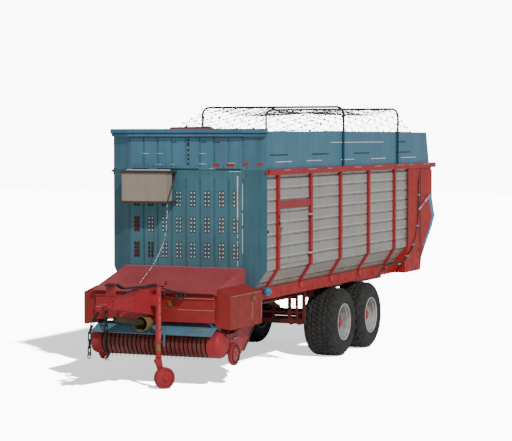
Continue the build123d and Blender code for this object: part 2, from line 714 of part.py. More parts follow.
def make_wheels():
    """Four wheels: tyre, dished rim and hub, on the outer ends of the axles."""
    axles = []
    inner_x = TYRE_OUT_X - TYRE_WIDTH
    middle_x = TYRE_OUT_X - TYRE_WIDTH / 2
    tyre_profile = [
        (inner_x + 30, RIM_R),
        (inner_x, RIM_R + 100),
        (inner_x + 80, WHEEL_R - TREAD_DEPTH - 5),
        (TYRE_OUT_X - 80, WHEEL_R - TREAD_DEPTH - 5),
        (TYRE_OUT_X - 12, WHEEL_R - 84),
        (TYRE_OUT_X, RIM_R + 76),
        (TYRE_OUT_X - 30, RIM_R),
    ]
    disc_x = TYRE_OUT_X - 215
    rim_profile = [
        (inner_x + 30, RIM_R),
        (inner_x + 30, RIM_R - 14),
        (disc_x - 12, RIM_R - 40),
        (disc_x - 12, HUB_R),
        (disc_x, HUB_R),
        (disc_x + 26, RIM_R - 70),
        (disc_x + 60, RIM_R - 40),
        (TYRE_OUT_X - 32, RIM_R - 16),
        (TYRE_OUT_X - 24, RIM_R),
    ]
    hub_profile = [
        (inner_x + 80, SPINDLE_R + FIT_GAP),
        (inner_x + 80, HUB_R - 14),
        (disc_x - 14, HUB_R - 8),
        (disc_x - 12, HUB_R),
        (disc_x + 4, HUB_R),
        (disc_x + 68, HUB_R - 12),
        (disc_x + 84, HUB_R - 30),
        (disc_x + 84, 0),
        (disc_x + 40, 0),
        (disc_x + 40, SPINDLE_R + FIT_GAP),
    ]
    carcass = turned_x(tyre_profile, 0, 0) + tread_row((middle_x, TYRE_OUT_X - 62), 0.0)
    carcass += tread_row((inner_x + 62, middle_x), 0.5)
    for place, y in zip(("front", "rear"), WHEEL_YS):
        tyre = Pos(0, y, WHEEL_R) * carcass
        rim = turned_x(rim_profile, y, WHEEL_R)
        hub = turned_x(hub_profile, y, WHEEL_R)
        for side in ("left", "right"):
            for name, piece in (("tyre", tyre), ("rim", rim + hub)):
                nodes[f"{name}_{side}_{place}"] = piece if side == "left" else flip(piece)
        end = disc_x + 38
        axle = bar_x(AXLE_R, (-(inner_x + 60), inner_x + 60), y, WHEEL_R)
        axle += bar_x(SPINDLE_R, (-end, end), y, WHEEL_R)
        for side in (-1, 1):
            x = side * (MEMBER_IN + MEMBER_OUT) / 2
            axle += block((x - 45, x + 45), (y - 70, y + 70), (WHEEL_R, WHEEL_R + AXLE_R + 8))
        axles.append(axle)
    nodes["axles"] = Compound(children=axles)


def make_bogies():
    """Leaf springs that carry both axles, rocking on brackets under the main members."""
    middle = sum(WHEEL_YS) / 2
    seat_z = WHEEL_R + AXLE_R + 8 + FIT_GAP
    bogies = []
    for side in ("left", "right"):
        x = (MEMBER_IN + MEMBER_OUT) / 2
        spring = side_plate(
            [
                (WHEEL_YS[0] - 70, seat_z),
                (WHEEL_YS[0] + 80, seat_z),
                (middle - 90, seat_z + 110),
                (middle + 90, seat_z + 110),
                (WHEEL_YS[1] - 80, seat_z),
                (WHEEL_YS[1] + 70, seat_z),
                (WHEEL_YS[1] + 70, seat_z + 30),
                (middle + 90, seat_z + 200),
                (middle - 90, seat_z + 200),
                (WHEEL_YS[0] - 70, seat_z + 30),
            ],
            (x - 38, x + 38),
        )
        bracket = side_plate(
            [
                (middle - 180, MEMBER_BOTTOM_Z - FIT_GAP),
                (middle - 110, seat_z + 110),
                (middle + 110, seat_z + 110),
                (middle + 180, MEMBER_BOTTOM_Z - FIT_GAP),
            ],
            (x - 52, x + 52),
        )
        bracket += bar_x(55, (x - 75, x + 75), middle, seat_z + 165)
        bogie = spring + bracket
        bogies.append(bogie if side == "left" else flip(bogie))
    nodes["bogies"] = Compound(children=bogies)


def make_subframe():
    """Cross frame under the floor, with the bearing of the floor's drive shaft, and that shaft."""
    span = (CARRIER_Y - 25, CARRIER_Y + 25)
    shaft_x, shaft_z = FLOOR_SHAFT
    frame = block((-CARRIER_HALF, CARRIER_HALF), span, CARRIER_LOW_Z)
    frame += block((-CARRIER_HALF, CARRIER_HALF), (CARRIER_Y - 15, CARRIER_Y + 15), CARRIER_HIGH_Z)
    under_cross = MEMBER_TOP_Z
    posts = (
        (937.0, CARRIER_HALF, BEAM_BOTTOM_Z - FIT_GAP),
        (830.0, 857.0, under_cross),
        (703.0, 744.0, under_cross),
        (448.0, 472.0, MEMBER_BOTTOM_Z - FIT_GAP),
    )
    for low_x, high_x, top in posts:
        post = block((low_x, high_x), span, (CARRIER_LOW_Z[0], top))
        frame += [post, flip(post)]
    for x in (760.0, 895.0):
        clamp = bar_y(46, x, (span[0] - 12, span[1] + 12), sum(CARRIER_LOW_Z) / 2 - 8)
        frame += [clamp, flip(clamp)]
    frame += block((740, 834), span, (shaft_z - 45, shaft_z + 45))
    frame -= bar_y(FLOOR_SHAFT_R + FIT_GAP, shaft_x, (CARRIER_Y - 60, CARRIER_Y + 60), shaft_z)
    nodes["carrier_frame"] = frame
    front_y = ROTOR_AXIS[0] + ROTOR_TIP_R + CHANNEL_GAP + 40 + FIT_GAP
    box_y = (CROSS_YS[3] - 170, CROSS_YS[3] + 35)
    shaft = bar_y(FLOOR_SHAFT_R, shaft_x, (front_y, box_y[0] + 5), shaft_z)
    shaft += bar_y(44, shaft_x, (front_y, front_y + 60), shaft_z)
    shaft += block((shaft_x - 46, shaft_x + 50), box_y, (shaft_z - 70, MEMBER_TOP_Z))
    nodes["drive_shaft"] = shaft


def make_feed_unit():
    """Side plates, channel sheet and rotor between the pickup and the floor."""
    axis_y, axis_z = ROTOR_AXIS
    radius = ROTOR_TIP_R + CHANNEL_GAP
    unit = None
    side_outline = [
        (axis_y - 320, axis_z - 120),
        (axis_y - 120, axis_z - radius - 30),
        (axis_y + 200, axis_z - radius - 30),
        (axis_y + radius + 40, axis_z - 60),
        (axis_y + radius + 40, CROSS_TOP_Z - 4),
        (axis_y - 200, CROSS_TOP_Z - 4),
        (axis_y - 320, axis_z + 180),
    ]
    for side in (-1, 1):
        plate = side_plate(side_outline, CHANNEL_SIDE)
        plate -= bar_x(SPINDLE_R + FIT_GAP, (700, 900), axis_y, axis_z)
        plate += block(
            (CHANNEL_SIDE[0], WALL_FOOT_HALF - BEAM_DEPTH_X - FIT_GAP),
            (axis_y - 60, axis_y + 60),
            (BEAM_BOTTOM_Z + 10, BEAM_BOTTOM_Z + 60),
        )
        plate = plate if side == 1 else flip(plate)
        unit = plate if unit is None else unit + plate
    sheet = []
    for step in range(8):
        angle = math.radians(-100 + step * 100 / 7)
        sheet.append((axis_y + radius * math.cos(angle), axis_z + radius * math.sin(angle)))
    sheet.append((axis_y + radius, CROSS_TOP_Z - 10))
    back = [(axis_y + radius + CHANNEL_SHEET, CROSS_TOP_Z - 10)]
    for step in range(7, -1, -1):
        angle = math.radians(-100 + step * 100 / 7)
        reach = radius + CHANNEL_SHEET
        back.append((axis_y + reach * math.cos(angle), axis_z + reach * math.sin(angle)))
    unit += side_plate(sheet + back, (-CHANNEL_SIDE[0], CHANNEL_SIDE[0]))
    nodes["feed_channel"] = unit
    rotor = bar_x(ROTOR_TUBE_R, (-ROTOR_HALF, ROTOR_HALF), axis_y, axis_z)
    rotor += bar_x(SPINDLE_R, (-CHANNEL_SIDE[1], CHANNEL_SIDE[1]), axis_y, axis_z)
    pitch = 2 * (ROTOR_HALF - 40) / (ROTOR_STAR_COUNT - 1)
    for number in range(ROTOR_STAR_COUNT):
        x = -ROTOR_HALF + 40 + number * pitch
        for arm in range(3):
            turn = math.radians(arm * 120 + number * 22)
            points = []
            for reach, lead in ROTOR_ARM:
                angle = turn + lead
                points.append((axis_y + reach * math.cos(angle), axis_z + reach * math.sin(angle)))
            rotor += side_plate(points, (x - ROTOR_STAR_THICK / 2, x + ROTOR_STAR_THICK / 2))
    nodes["feed_rotor"] = rotor


def arc_points(centre, radius, start, end, steps):
    """(y, z) points on an arc; angles in degrees from +Y towards +Z."""
    turns = [math.radians(start + (end - start) * step / steps) for step in range(steps + 1)]
    return [(centre[0] + radius * math.cos(turn), centre[1] + radius * math.sin(turn)) for turn in turns]


def make_pickup():
    """Arms, end covers, stripper bands, baffle and the tined reel."""
    frame = None
    hub_y, hub_z = REEL_AXIS
    arm_outline = [
        (PICKUP_PIVOT[0] + 60, PICKUP_PIVOT[1] + 30),
        (PICKUP_PIVOT[0] + 50, PICKUP_PIVOT[1] - 50),
        (-85, 565),
        (-300, 420),
        (-420, 368),
        (-570, 385),
        (-800, 470),
        (hub_y - 60, hub_z - 120),
        (hub_y - 130, hub_z + 20),
        (hub_y - 60, hub_z + 130),
        (-600, 720),
        (-300, 770),
        (PICKUP_PIVOT[0] - 60, PICKUP_PIVOT[1] + 60),
    ]
    for side in (-1, 1):
        arm = side_plate(arm_outline, ARM_HALF)
        arm -= bar_x(SPINDLE_R + FIT_GAP, (ARM_HALF[0] - 50, ARM_HALF[1] + 50), *PICKUP_PIVOT)
        cover = [
            (DRUM_HALF[0], 0),
            (DRUM_HALF[0], BAND_OUT_R),
            (DRUM_HALF[1], BAND_OUT_R),
            (DRUM_HALF[1] + DRUM_DOME * 0.42, BAND_OUT_R * 0.91),
            (DRUM_HALF[1] + DRUM_DOME * 0.78, BAND_OUT_R * 0.63),
            (DRUM_HALF[1] + DRUM_DOME * 0.96, BAND_OUT_R * 0.3),
            (DRUM_HALF[1] + DRUM_DOME, 0),
        ]
        arm += turned_x(cover, hub_y, hub_z) - bar_x(SPINDLE_R + FIT_GAP, (700, 870), hub_y, hub_z)
        arm += bar_x(18, (ARM_HALF[1] - 4, GAUGE_IN_X + GAUGE_WIDTH + 8), *GAUGE_AXIS)
        arm = arm if side == 1 else flip(arm)
        frame = arm if frame is None else frame + arm
    frame += bar_x(48, (-ARM_HALF[0] - 4, ARM_HALF[0] + 4), -560, 640)
    nodes["pickup_frame"] = frame
    outer = arc_points(REEL_AXIS, BAND_OUT_R, 80, 280, 12)
    inner = arc_points(REEL_AXIS, BAND_IN_R, 280, 80, 12)
    top_tail = (hub_y + BAND_TAIL[0], hub_z + BAND_TAIL[1])
    low_tail = (hub_y + BAND_TAIL[0], hub_z - BAND_TAIL[1])
    band = [top_tail] + outer + [low_tail, (low_tail[0], low_tail[1] + 14)] + inner
    band.append((top_tail[0], top_tail[1] - 14))
    bar_half = ARM_HALF[0] - FIT_GAP
    high, low = [
        block((-bar_half, bar_half), (top_tail[0] - 4, top_tail[0] + 26), (z, z + 22))
        for z in (top_tail[1] - 18, low_tail[1] - 4)
    ]
    bars = high + low
    strips = []
    for number in range(BAND_COUNT):
        x = (number - (BAND_COUNT - 1) / 2) * BAND_PITCH
        strips.append(side_plate(band, (x - BAND_WIDTH / 2, x + BAND_WIDTH / 2)))
    nodes["stripper_bands"] = bars + strips
    baffle = side_plate(
        [(-1010, 874), (-1285, 744), (-1279, 734), (-1002, 864), (-960, 864), (-960, 874)],
        (-920, 920),
    )
    for side in (-1, 1):
        stay = side_plate(
            [(-985, 780), (-700, 650), (-700, 700), (-960, 872), (-1010, 872)],
            (DRUM_HALF[0] + 60, DRUM_HALF[0] + 72),
        )
        baffle += stay if side == 1 else flip(stay)
    baffle += block((200, 229), (-1283, -1270), (580, 742))
    nodes["baffle"] = baffle - nodes["pickup_frame"]
    make_reel()
    gauge_out_x = GAUGE_IN_X + GAUGE_WIDTH
    gauge = turned_x(
        [
            (GAUGE_IN_X, 18 + FIT_GAP),
            (GAUGE_IN_X, 60),
            (GAUGE_IN_X + 14, GAUGE_R - 34),
            (GAUGE_IN_X, GAUGE_R - 14),
            (GAUGE_IN_X + 12, GAUGE_R),
            (gauge_out_x - 12, GAUGE_R),
            (gauge_out_x, GAUGE_R - 14),
            (gauge_out_x - 14, GAUGE_R - 34),
            (gauge_out_x, 60),
            (gauge_out_x, 18 + FIT_GAP),
        ],
        *GAUGE_AXIS,
    )
    nodes["gauge_wheel_left"] = gauge
    nodes["gauge_wheel_right"] = flip(gauge)


def make_reel():
    """Tined reel: a tube, five tine bars and a tine in each gap between the bands."""
    hub_y, hub_z = REEL_AXIS
    reel = bar_x(REEL_TUBE_R, (-REEL_HALF, REEL_HALF), hub_y, hub_z)
    reel += bar_x(SPINDLE_R, (-DRUM_HALF[0] - 50, DRUM_HALF[0] + 50), hub_y, hub_z)
    for side in (-1, 0, 1):
        x = side * (REEL_HALF - 20)
        reel += bar_x(TINE_BAR_R + 16, (x - 8, x + 8), hub_y, hub_z)
    tine = 9.0
    for bar in range(TINE_BAR_COUNT):
        turn = bar * 360 / TINE_BAR_COUNT + 15
        y = hub_y + TINE_BAR_R * math.cos(math.radians(turn))
        z = hub_z + TINE_BAR_R * math.sin(math.radians(turn))
        reel += bar_x(14, (-REEL_HALF, REEL_HALF), y, z)
        spikes = []
        for number in range(BAND_COUNT - 1):
            x = (number - (BAND_COUNT - 2) / 2) * BAND_PITCH
            spike = Pos(0, (TINE_BAR_R + TINE_TIP_R) / 2, 0) * Box(tine, TINE_TIP_R - TINE_BAR_R, tine)
            spikes.append(Pos(x, hub_y, hub_z) * Rot(turn, 0, 0) * spike)
        reel += spikes
    nodes["pickup_reel"] = reel


def make_hood():
    """Sloped hood, the folded face below it and the two side boxes."""
    slope = [
        (HOOD_REAR_Y, HOOD_TOP_Z),
        (HOOD_FRONT_Y, HOOD_EDGE_Z),
        (HOOD_FRONT_Y, HOOD_EDGE_Z - 30),
        (HOOD_FRONT_Y + HOOD_SHEET, HOOD_EDGE_Z - 30),
        (HOOD_FRONT_Y + HOOD_SHEET, HOOD_EDGE_Z - 6),
        (HOOD_REAR_Y + HOOD_SHEET, HOOD_TOP_Z - HOOD_SHEET),
        (-FRONT_PROUD - 6, HOOD_TOP_Z - HOOD_SHEET),
        (-FRONT_PROUD - 6, HOOD_TOP_Z),
    ]
    hood = side_plate(slope, (-HOOD_HALF, HOOD_HALF))
    hood += block((-254, -226), (-1138, -1110), (HOOD_EDGE_Z + 12, ROPE_EYE_Z))
    end = [
        (-FRONT_PROUD - 6, HOOD_TOP_Z - 2),
        (HOOD_REAR_Y, HOOD_TOP_Z - 2),
        (HOOD_FRONT_Y, HOOD_EDGE_Z - 2),
        (HOOD_FRONT_Y, HOOD_EDGE_Z - 30),
        (BOX_FRONT_Y, BOX_TOP_IN_Z - 100),
        (-FRONT_PROUD - 6, BOX_TOP_IN_Z - 60),
    ]
    for side in (-1, 1):
        cheek = side_plate(end, (HOOD_HALF - HOOD_SHEET, HOOD_HALF))
        hood += cheek if side == 1 else flip(cheek)
    passage = block((-DRAWBAR_HALF - 12, DRAWBAR_HALF + 12), (HOOD_FRONT_Y - 5, -980), (800, 1402))
    nodes["front_hood"] = hood - passage
    face = side_plate(
        [
            (FACE_Y, HOOD_EDGE_Z - 34),
            (FACE_Y - 24, 1240),
            (FACE_Y, 1215),
            (FACE_Y, 1105),
            (FACE_Y - 24, 1080),
            (FACE_Y - 10, FACE_BOTTOM_Z),
            (FACE_Y + 2, FACE_BOTTOM_Z),
            (FACE_Y - 14, 1076),
            (FACE_Y + 8, 1102),
            (FACE_Y + 8, 1218),
            (FACE_Y - 14, 1242),
            (FACE_Y + 8, HOOD_EDGE_Z - 34),
        ],
        (-HOOD_HALF + 10, HOOD_HALF - 10),
    )
    for x in (-860.0, -300.0, 300.0, 860.0):
        rib = side_plate(
            [
                (FACE_Y + 6, 1110),
                (FACE_Y + 6, 1210),
                (FRAME_BEAM_Y[0] - FIT_GAP, 1280),
                (FRAME_BEAM_Y[0] - FIT_GAP, 1180),
            ],
            (x - 5, x + 5),
        )
        face += rib
    nodes["front_face"] = face - passage
    boxes = []
    for side in ("left", "right"):
        inner = HOOD_HALF + FIT_GAP
        section = [
            (inner, BOX_TOP_IN_Z),
            (BOX_OUT, BOX_TOP_OUT_Z),
            (BOX_OUT, BOX_BOTTOM_Z),
            (BOX_OUT - HOOD_SHEET, BOX_BOTTOM_Z),
            (BOX_OUT - HOOD_SHEET, BOX_TOP_OUT_Z - 8),
            (inner, BOX_TOP_IN_Z - 10),
        ]
        box = cross_plate(section, (BOX_FRONT_Y, BOX_REAR_Y))
        behind = [(HALF_WIDTH, 200), (-HALF_WIDTH, 200)]
        box -= plan_plate(front_plan(6) + behind, (WALL_FOOT_Z - 6, BOX_TOP_IN_Z + 10))
        nose = [
            (inner, BOX_TOP_IN_Z - 4),
            (BOX_OUT - 2, BOX_TOP_OUT_Z - 4),
            (BOX_OUT - 2, BOX_BOTTOM_Z),
            (inner, BOX_BOTTOM_Z + 30),
        ]
        box += cross_plate(nose, (BOX_FRONT_Y, BOX_FRONT_Y + HOOD_SHEET))
        front = (BOX_FRONT_Y, BOX_FRONT_Y + HOOD_SHEET)
        box += block((HOOD_HALF - 28, inner + 1), front, (BOX_BOTTOM_Z + 30, BOX_TOP_OUT_Z - 7))
        boxes.append(box if side == "left" else flip(box))
    nodes["side_boxes"] = Compound(children=boxes)


def make_drawbar():
    """Welded drawbar with its gusset, the towing eye and the coupling holder."""
    outline = [
        (DRAWBAR_FRONT_Y, 1190),
        (DRAWBAR_FRONT_Y, 1325),
        (-1960, 1322),
        (-1640, 1388),
        (-1000, 1372),
        (-760, 1288),
        (FRAME_BEAM_Y[0] - FIT_GAP, 1288),
        (FRAME_BEAM_Y[0] - FIT_GAP, 1152),
        (-900, 1000),
        (-1336, 1008),
    ]
    bar = side_plate(outline, (-DRAWBAR_HALF, DRAWBAR_HALF))
    plate_half = DRAWBAR_HALF + 20
    bar += block((-plate_half, plate_half), (DRAWBAR_FRONT_Y - 18, DRAWBAR_FRONT_Y), (1175, 1345))
    bar += block((DRAWBAR_HALF - 5, JACK_X), (JACK_Y - 60, JACK_Y + 60), (1150, 1300)) - bar_z(
        JACK_TUBE_R + FIT_GAP, JACK_X, JACK_Y, (1000, 1500)
    )
    bar += block((-30, 30), (-2240, -2200), (PTO_FRONT[1] + 10, 1200)) - rod_between_pto(PTO_TUBE_R + FIT_GAP)
    nodes["drawbar"] = bar
    eye = Pos(0, EYE_Y, EYE_Z) * Cylinder(EYE_RING_R, EYE_THICK)
    eye += block((-26, 26), (EYE_Y + 30, DRAWBAR_FRONT_Y - 40), (EYE_Z - 15, EYE_Z + 15))
    eye += block((-60, 60), (DRAWBAR_FRONT_Y - 44, DRAWBAR_FRONT_Y - 18 - FIT_GAP), (EYE_Z - 55, EYE_Z + 55))
    nodes["towing_eye"] = eye - Pos(0, EYE_Y, EYE_Z) * Cylinder(EYE_BORE_R, EYE_THICK * 2)
    holder = block((-70, 70), (-2452, -2444), (1325 + FIT_GAP, 1535))
    holder += block((-70, 70), (-2452, -2390), (1325 + FIT_GAP, 1337))
    couplings = []
    for x in COUPLING_XS:
        holder -= bar_y(HOSE_R + 4, x, (-2470, -2430), COUPLING_Z)
        collar = bar_y(HOSE_R + 3.7, x, (-2500, -2420), COUPLING_Z)
        couplings.append(collar + bar_y(HOSE_R, x, (-2530, -2400), COUPLING_Z))
    nodes["coupling_holder"] = holder
    nodes["couplings"] = Compound(children=couplings)


def rod_between_pto(radius):
    """Round bar on the line of the drive shaft under the drawbar."""
    return rod((0, *PTO_FRONT), (0, *PTO_REAR), radius)


def make_drive():
    """Gearbox, guard bell and the drive shaft stowed under the drawbar."""
    rear_y, rear_z = PTO_REAR
    gearbox = block((-120, 120), (-1075, -720), (885, 998)) + bar_y(36, 0, (rear_y + 60, -1070), rear_z + 22)
    gearbox += block((-90, 90), (-1000, -660), (990, 1148)) - nodes["drawbar"]
    nodes["gearbox"] = gearbox
    profile = [
        (rear_y + 90, 66),
        (rear_y + 60, BELL_R - 12),
        (rear_y - 150, BELL_R),
        (rear_y - 150, BELL_R - 6),
        (rear_y + 56, BELL_R - 18),
        (rear_y + 84, 58),
    ]
    face = make_face(Polyline([(0, y, rear_z + r) for y, r in profile], close=True))
    nodes["guard_bell"] = revolve(face, axis=Axis((0, 0, rear_z), (0, 1, 0)), revolution_arc=360)
    front = Vector(0, *PTO_FRONT)
    line = (Vector(0, *PTO_REAR) - front).normalized()
    bore = rod(front - line * 10, front + line * PTO_BORE_DEPTH, PTO_BORE_R)
    nodes["pto_shaft"] = rod_between_pto(PTO_TUBE_R) - bore


def make_jack():
    """Parking jack on the drawbar: outer tube, sliding leg with a one-sided fork, and wheel."""
    tube = bar_z(JACK_TUBE_R, JACK_X, JACK_Y, (JACK_TUBE_BOTTOM_Z, JACK_TOP_Z))
    tube -= bar_z(JACK_LEG_R + FIT_GAP, JACK_X, JACK_Y, (JACK_TUBE_BOTTOM_Z - 10, JACK_TOP_Z - 40))
    tube += bar_z(12, JACK_X, JACK_Y, (JACK_TOP_Z - 5, JACK_TOP_Z + 40))
    tube += block((JACK_X - 10, JACK_X + 130), (JACK_Y - 10, JACK_Y + 10), (JACK_TOP_Z + 26, JACK_TOP_Z + 44))
    nodes["jack_tube"] = tube
    leg_bottom = JACK_TUBE_BOTTOM_Z - JACK_TRAVEL - 8
    axle_y = JACK_Y + CASTER_TRAIL
    leg = bar_z(JACK_LEG_R, JACK_X, JACK_Y, (leg_bottom, JACK_TUBE_BOTTOM_Z + 420))
    leg += bar_z(JACK_TUBE_R, JACK_X, JACK_Y, (leg_bottom - 34, leg_bottom))
    wheel_x = (JACK_X + 12, JACK_X + 12 + CASTER_WIDTH)
    leg += side_plate(
        [
            (JACK_Y - 40, leg_bottom - 8),
            (JACK_Y - 52, leg_bottom - 110),
            (axle_y - 34, CASTER_R),
            (axle_y, CASTER_R - 34),
            (axle_y + 34, CASTER_R),
            (JACK_Y + 40, leg_bottom - 8),
        ],
        (JACK_X - 10, JACK_X + 4),
    )
    leg += bar_x(30, (JACK_X - 52, JACK_X), JACK_Y - 16, leg_bottom - 92)
    leg += bar_x(16, (JACK_X - 14, wheel_x[1] + 10), axle_y, CASTER_R)
    swivel = Pos(JACK_X, JACK_Y, 0) * Rot(0, 0, CASTER_SWIVEL) * Pos(-JACK_X, -JACK_Y, 0)
    nodes["jack_leg"] = swivel * leg
    rim = CASTER_R - 30
    profile = [
        (wheel_x[0], 16 + FIT_GAP),
        (wheel_x[0], 40),
        (wheel_x[0] + 20, 54),
        (wheel_x[0] + 20, rim - 8),
        (wheel_x[0], rim),
        (wheel_x[0], CASTER_R - 14),
        (wheel_x[0] + 16, CASTER_R),
        (wheel_x[1] - 16, CASTER_R),
        (wheel_x[1], CASTER_R - 14),
        (wheel_x[1], rim),
        (wheel_x[1] - 20, rim - 8),
        (wheel_x[1] - 20, 54),
        (wheel_x[1], 40),
        (wheel_x[1], 16 + FIT_GAP),
    ]
    nodes["jack_wheel"] = swivel * turned_x(profile, axle_y, CASTER_R)


def make_chains():
    """Safety chains on lugs of the face: links end to end, every second one turned by a quarter."""
    inside = [size - 2 * CHAIN_WIRE for size in CHAIN_LINK]
    link = Box(*CHAIN_LINK, CHAIN_WIRE) - Box(*inside, CHAIN_WIRE * 2)
    chains = []
    for route in CHAIN_ROUTES:
        x, y, z = route[0]
        face_y = FACE_Y if z > 1105 else FACE_Y - 17
        chain = block((x - 5, x + 5), (y - 8, face_y - FIT_GAP), (z - 5, z + 5))
        line = Polyline(*route)
        count = int(line.length / CHAIN_PITCH)
        joints = [line.position_at(step * CHAIN_PITCH / line.length) for step in range(count + 1)]
        for number, (start, end) in enumerate(zip(joints, joints[1:])):
            way = (end - start).normalized()
            upright = Plane(origin=(start + end) / 2, x_dir=way, z_dir=way.cross(Vector(0, 1, 0)))
            chain += upright.location * Rot(90 * (number % 2), 0, 0) * link
        chains.append(chain)
    nodes["tow_chains"] = Compound(children=chains)


def make_front_fittings():
    """Control box on the front wall, accumulator, hoses and the hanging rope."""
    wall_y = -FRONT_PROUD - FIT_GAP
    front_y = wall_y - CONTROL_FRAME_DEPTH
    body = block(CONTROL_BOX_X, (front_y, front_y + CONTROL_BOX_DEPTH), CONTROL_BOX_Z)
    lid = block(
        (CONTROL_BOX_X[0] - 22, CONTROL_BOX_X[1] + 22),
        (front_y - 16, wall_y),
        (CONTROL_BOX_Z[1] + FIT_GAP, CONTROL_BOX_Z[1] + 34),
    )
    tray = block(
        (CONTROL_BOX_X[0] - 12, CONTROL_BOX_X[1] + 22),
        (front_y - 10, wall_y),
        (CONTROL_BOX_Z[0] - 30, CONTROL_BOX_Z[0] - FIT_GAP),
    )
    stay_x = CONTROL_BOX_X[1] + 12
    stay = rod(
        (stay_x, wall_y - 14, CONTROL_BOX_Z[1] + 8),
        (stay_x, front_y + 8, CONTROL_BOX_Z[0] - 12),
        8,
    )
    nodes["control_box"] = body
    nodes["control_box_frame"] = lid + tray + stay
    sphere = Pos(WALL_FOOT_HALF + 66, 310, 1240) * Sphere(62)
    sphere += bar_x(16, (WALL_FOOT_HALF + FIT_GAP, WALL_FOOT_HALF + 30), 310, 1240)
    nodes["accumulator"] = sphere
    hoses = []
    for x in COUPLING_XS[:3]:
        points = [
            (x, -2400 + FIT_GAP, COUPLING_Z),
            (x, -2280, COUPLING_Z),
            (x * 0.9, -2060, 1425),
            (x * 0.9, -1640, 1415),
            (x * 0.9, HOOD_FRONT_Y - 60, 1402),
            (x * 0.9 + 40, HOOD_FRONT_Y + 30, 1425),
        ]
        hoses.append(bent_tube(points, [60, 60, 60, 60], HOSE_R))
    nodes["hydraulic_hoses"] = Compound(children=hoses)


def make_rope():
    """Thin rope: straight runs joined by tangent arcs as large as the runs allow."""
    points = [Vector(*point) for point in ROPE_POINTS]
    bends = []
    for before, here, after in zip(points, points[1:], points[2:]):
        turn = (here - before).get_angle(after - here)
        shorter = min((here - before).length, (after - here).length)
        bends.append(0.45 * shorter / math.tan(math.radians(turn / 2)))
    nodes["rope"] = bent_tube(ROPE_POINTS, bends, ROPE_R)


make_side_walls()
make_side_frames()
make_front_wall()
make_top_panels()
make_chassis()
make_floor()
make_rear()
make_tailgate()
make_wheels()
make_bogies()
make_subframe()
make_feed_unit()
make_pickup()
make_hood()
make_drawbar()
make_drive()
make_jack()
make_chains()
make_front_fittings()
make_rope()

for name, shape in nodes.items():
    export_step(Pos(0, -Y_MIDDLE, 0) * shape, f"parts/{name}.step")
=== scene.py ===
"""Looks of a loader wagon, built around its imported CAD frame. Metres, +X left side, -Y drawbar, +Z up."""
import json
import logging
import math
from dataclasses import dataclass
from enum import Enum
from typing import Iterable, Iterator, Sequence

import bpy
from mathutils import Matrix, Vector

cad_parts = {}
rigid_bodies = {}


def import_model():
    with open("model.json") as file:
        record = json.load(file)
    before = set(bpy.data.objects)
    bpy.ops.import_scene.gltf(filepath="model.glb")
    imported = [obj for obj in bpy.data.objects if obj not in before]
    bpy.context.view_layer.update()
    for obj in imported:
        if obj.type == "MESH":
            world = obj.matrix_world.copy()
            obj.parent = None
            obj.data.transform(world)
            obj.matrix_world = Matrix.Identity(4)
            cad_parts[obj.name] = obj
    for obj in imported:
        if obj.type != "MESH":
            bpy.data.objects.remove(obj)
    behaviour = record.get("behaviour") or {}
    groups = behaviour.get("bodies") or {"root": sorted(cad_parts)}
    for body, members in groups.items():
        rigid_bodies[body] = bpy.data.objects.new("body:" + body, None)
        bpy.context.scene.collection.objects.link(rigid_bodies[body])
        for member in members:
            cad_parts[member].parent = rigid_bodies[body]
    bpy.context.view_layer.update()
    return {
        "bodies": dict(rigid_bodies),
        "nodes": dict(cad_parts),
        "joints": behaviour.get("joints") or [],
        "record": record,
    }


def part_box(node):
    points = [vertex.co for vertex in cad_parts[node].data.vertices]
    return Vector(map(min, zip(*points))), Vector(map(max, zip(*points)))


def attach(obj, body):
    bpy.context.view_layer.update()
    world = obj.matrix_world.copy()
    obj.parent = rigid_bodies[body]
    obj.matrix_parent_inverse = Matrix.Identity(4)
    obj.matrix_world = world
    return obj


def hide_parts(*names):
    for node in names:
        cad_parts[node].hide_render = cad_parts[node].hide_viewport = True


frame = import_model()

Point = tuple[float, float, float]
Span = tuple[float, float]
Block = tuple[Span, Span, Span]
Colour = tuple[float, float, float]
DRAWN_Y = -2.6115  # where the front wall's outer corners lie; the detail tables count Y from there
FORWARD = (0.0, -1.0, 0.0)
GREY_PAINT = (0.5, 0.5, 0.5, 1.0)
LOG = logging.getLogger("loader_wagon")


class Side(Enum):
    """Which side of the wagon a piece is on."""

    LEFT = 1.0
    RIGHT = -1.0

    @property
    def outward(self) -> Point:
        """Direction away from the wagon's middle."""
        return (self.value, 0.0, 0.0)

    def span(self, near: float, far: float) -> Span:
        """X span between two distances from the wagon's middle.

        Args:
            near: the shorter distance.
            far: the longer distance.

        Returns:
            Low and high X on this side.
        """
        low, high = sorted((self.value * near, self.value * far))
        return (low, high)


def road_wheels() -> Iterator[tuple[Side, str]]:
    """Goes through the four road wheels.

    Yields:
        Side and name of each wheel.
    """
    for side in Side:
        for place in ("front", "rear"):
            yield side, f"{side.name.lower()}_{place}"


def ring(centre: Point, radius: float, count: int) -> list[Point]:
    """Points on a circle round an axis that runs across the wagon.

    Args:
        centre: middle of the circle.
        radius: its radius.
        count: number of points.

    Returns:
        The points.
    """
    x, y, z = centre
    turns = [2 * math.pi * step / count for step in range(count)]
    return [(x, y + radius * math.cos(turn), z + radius * math.sin(turn)) for turn in turns]


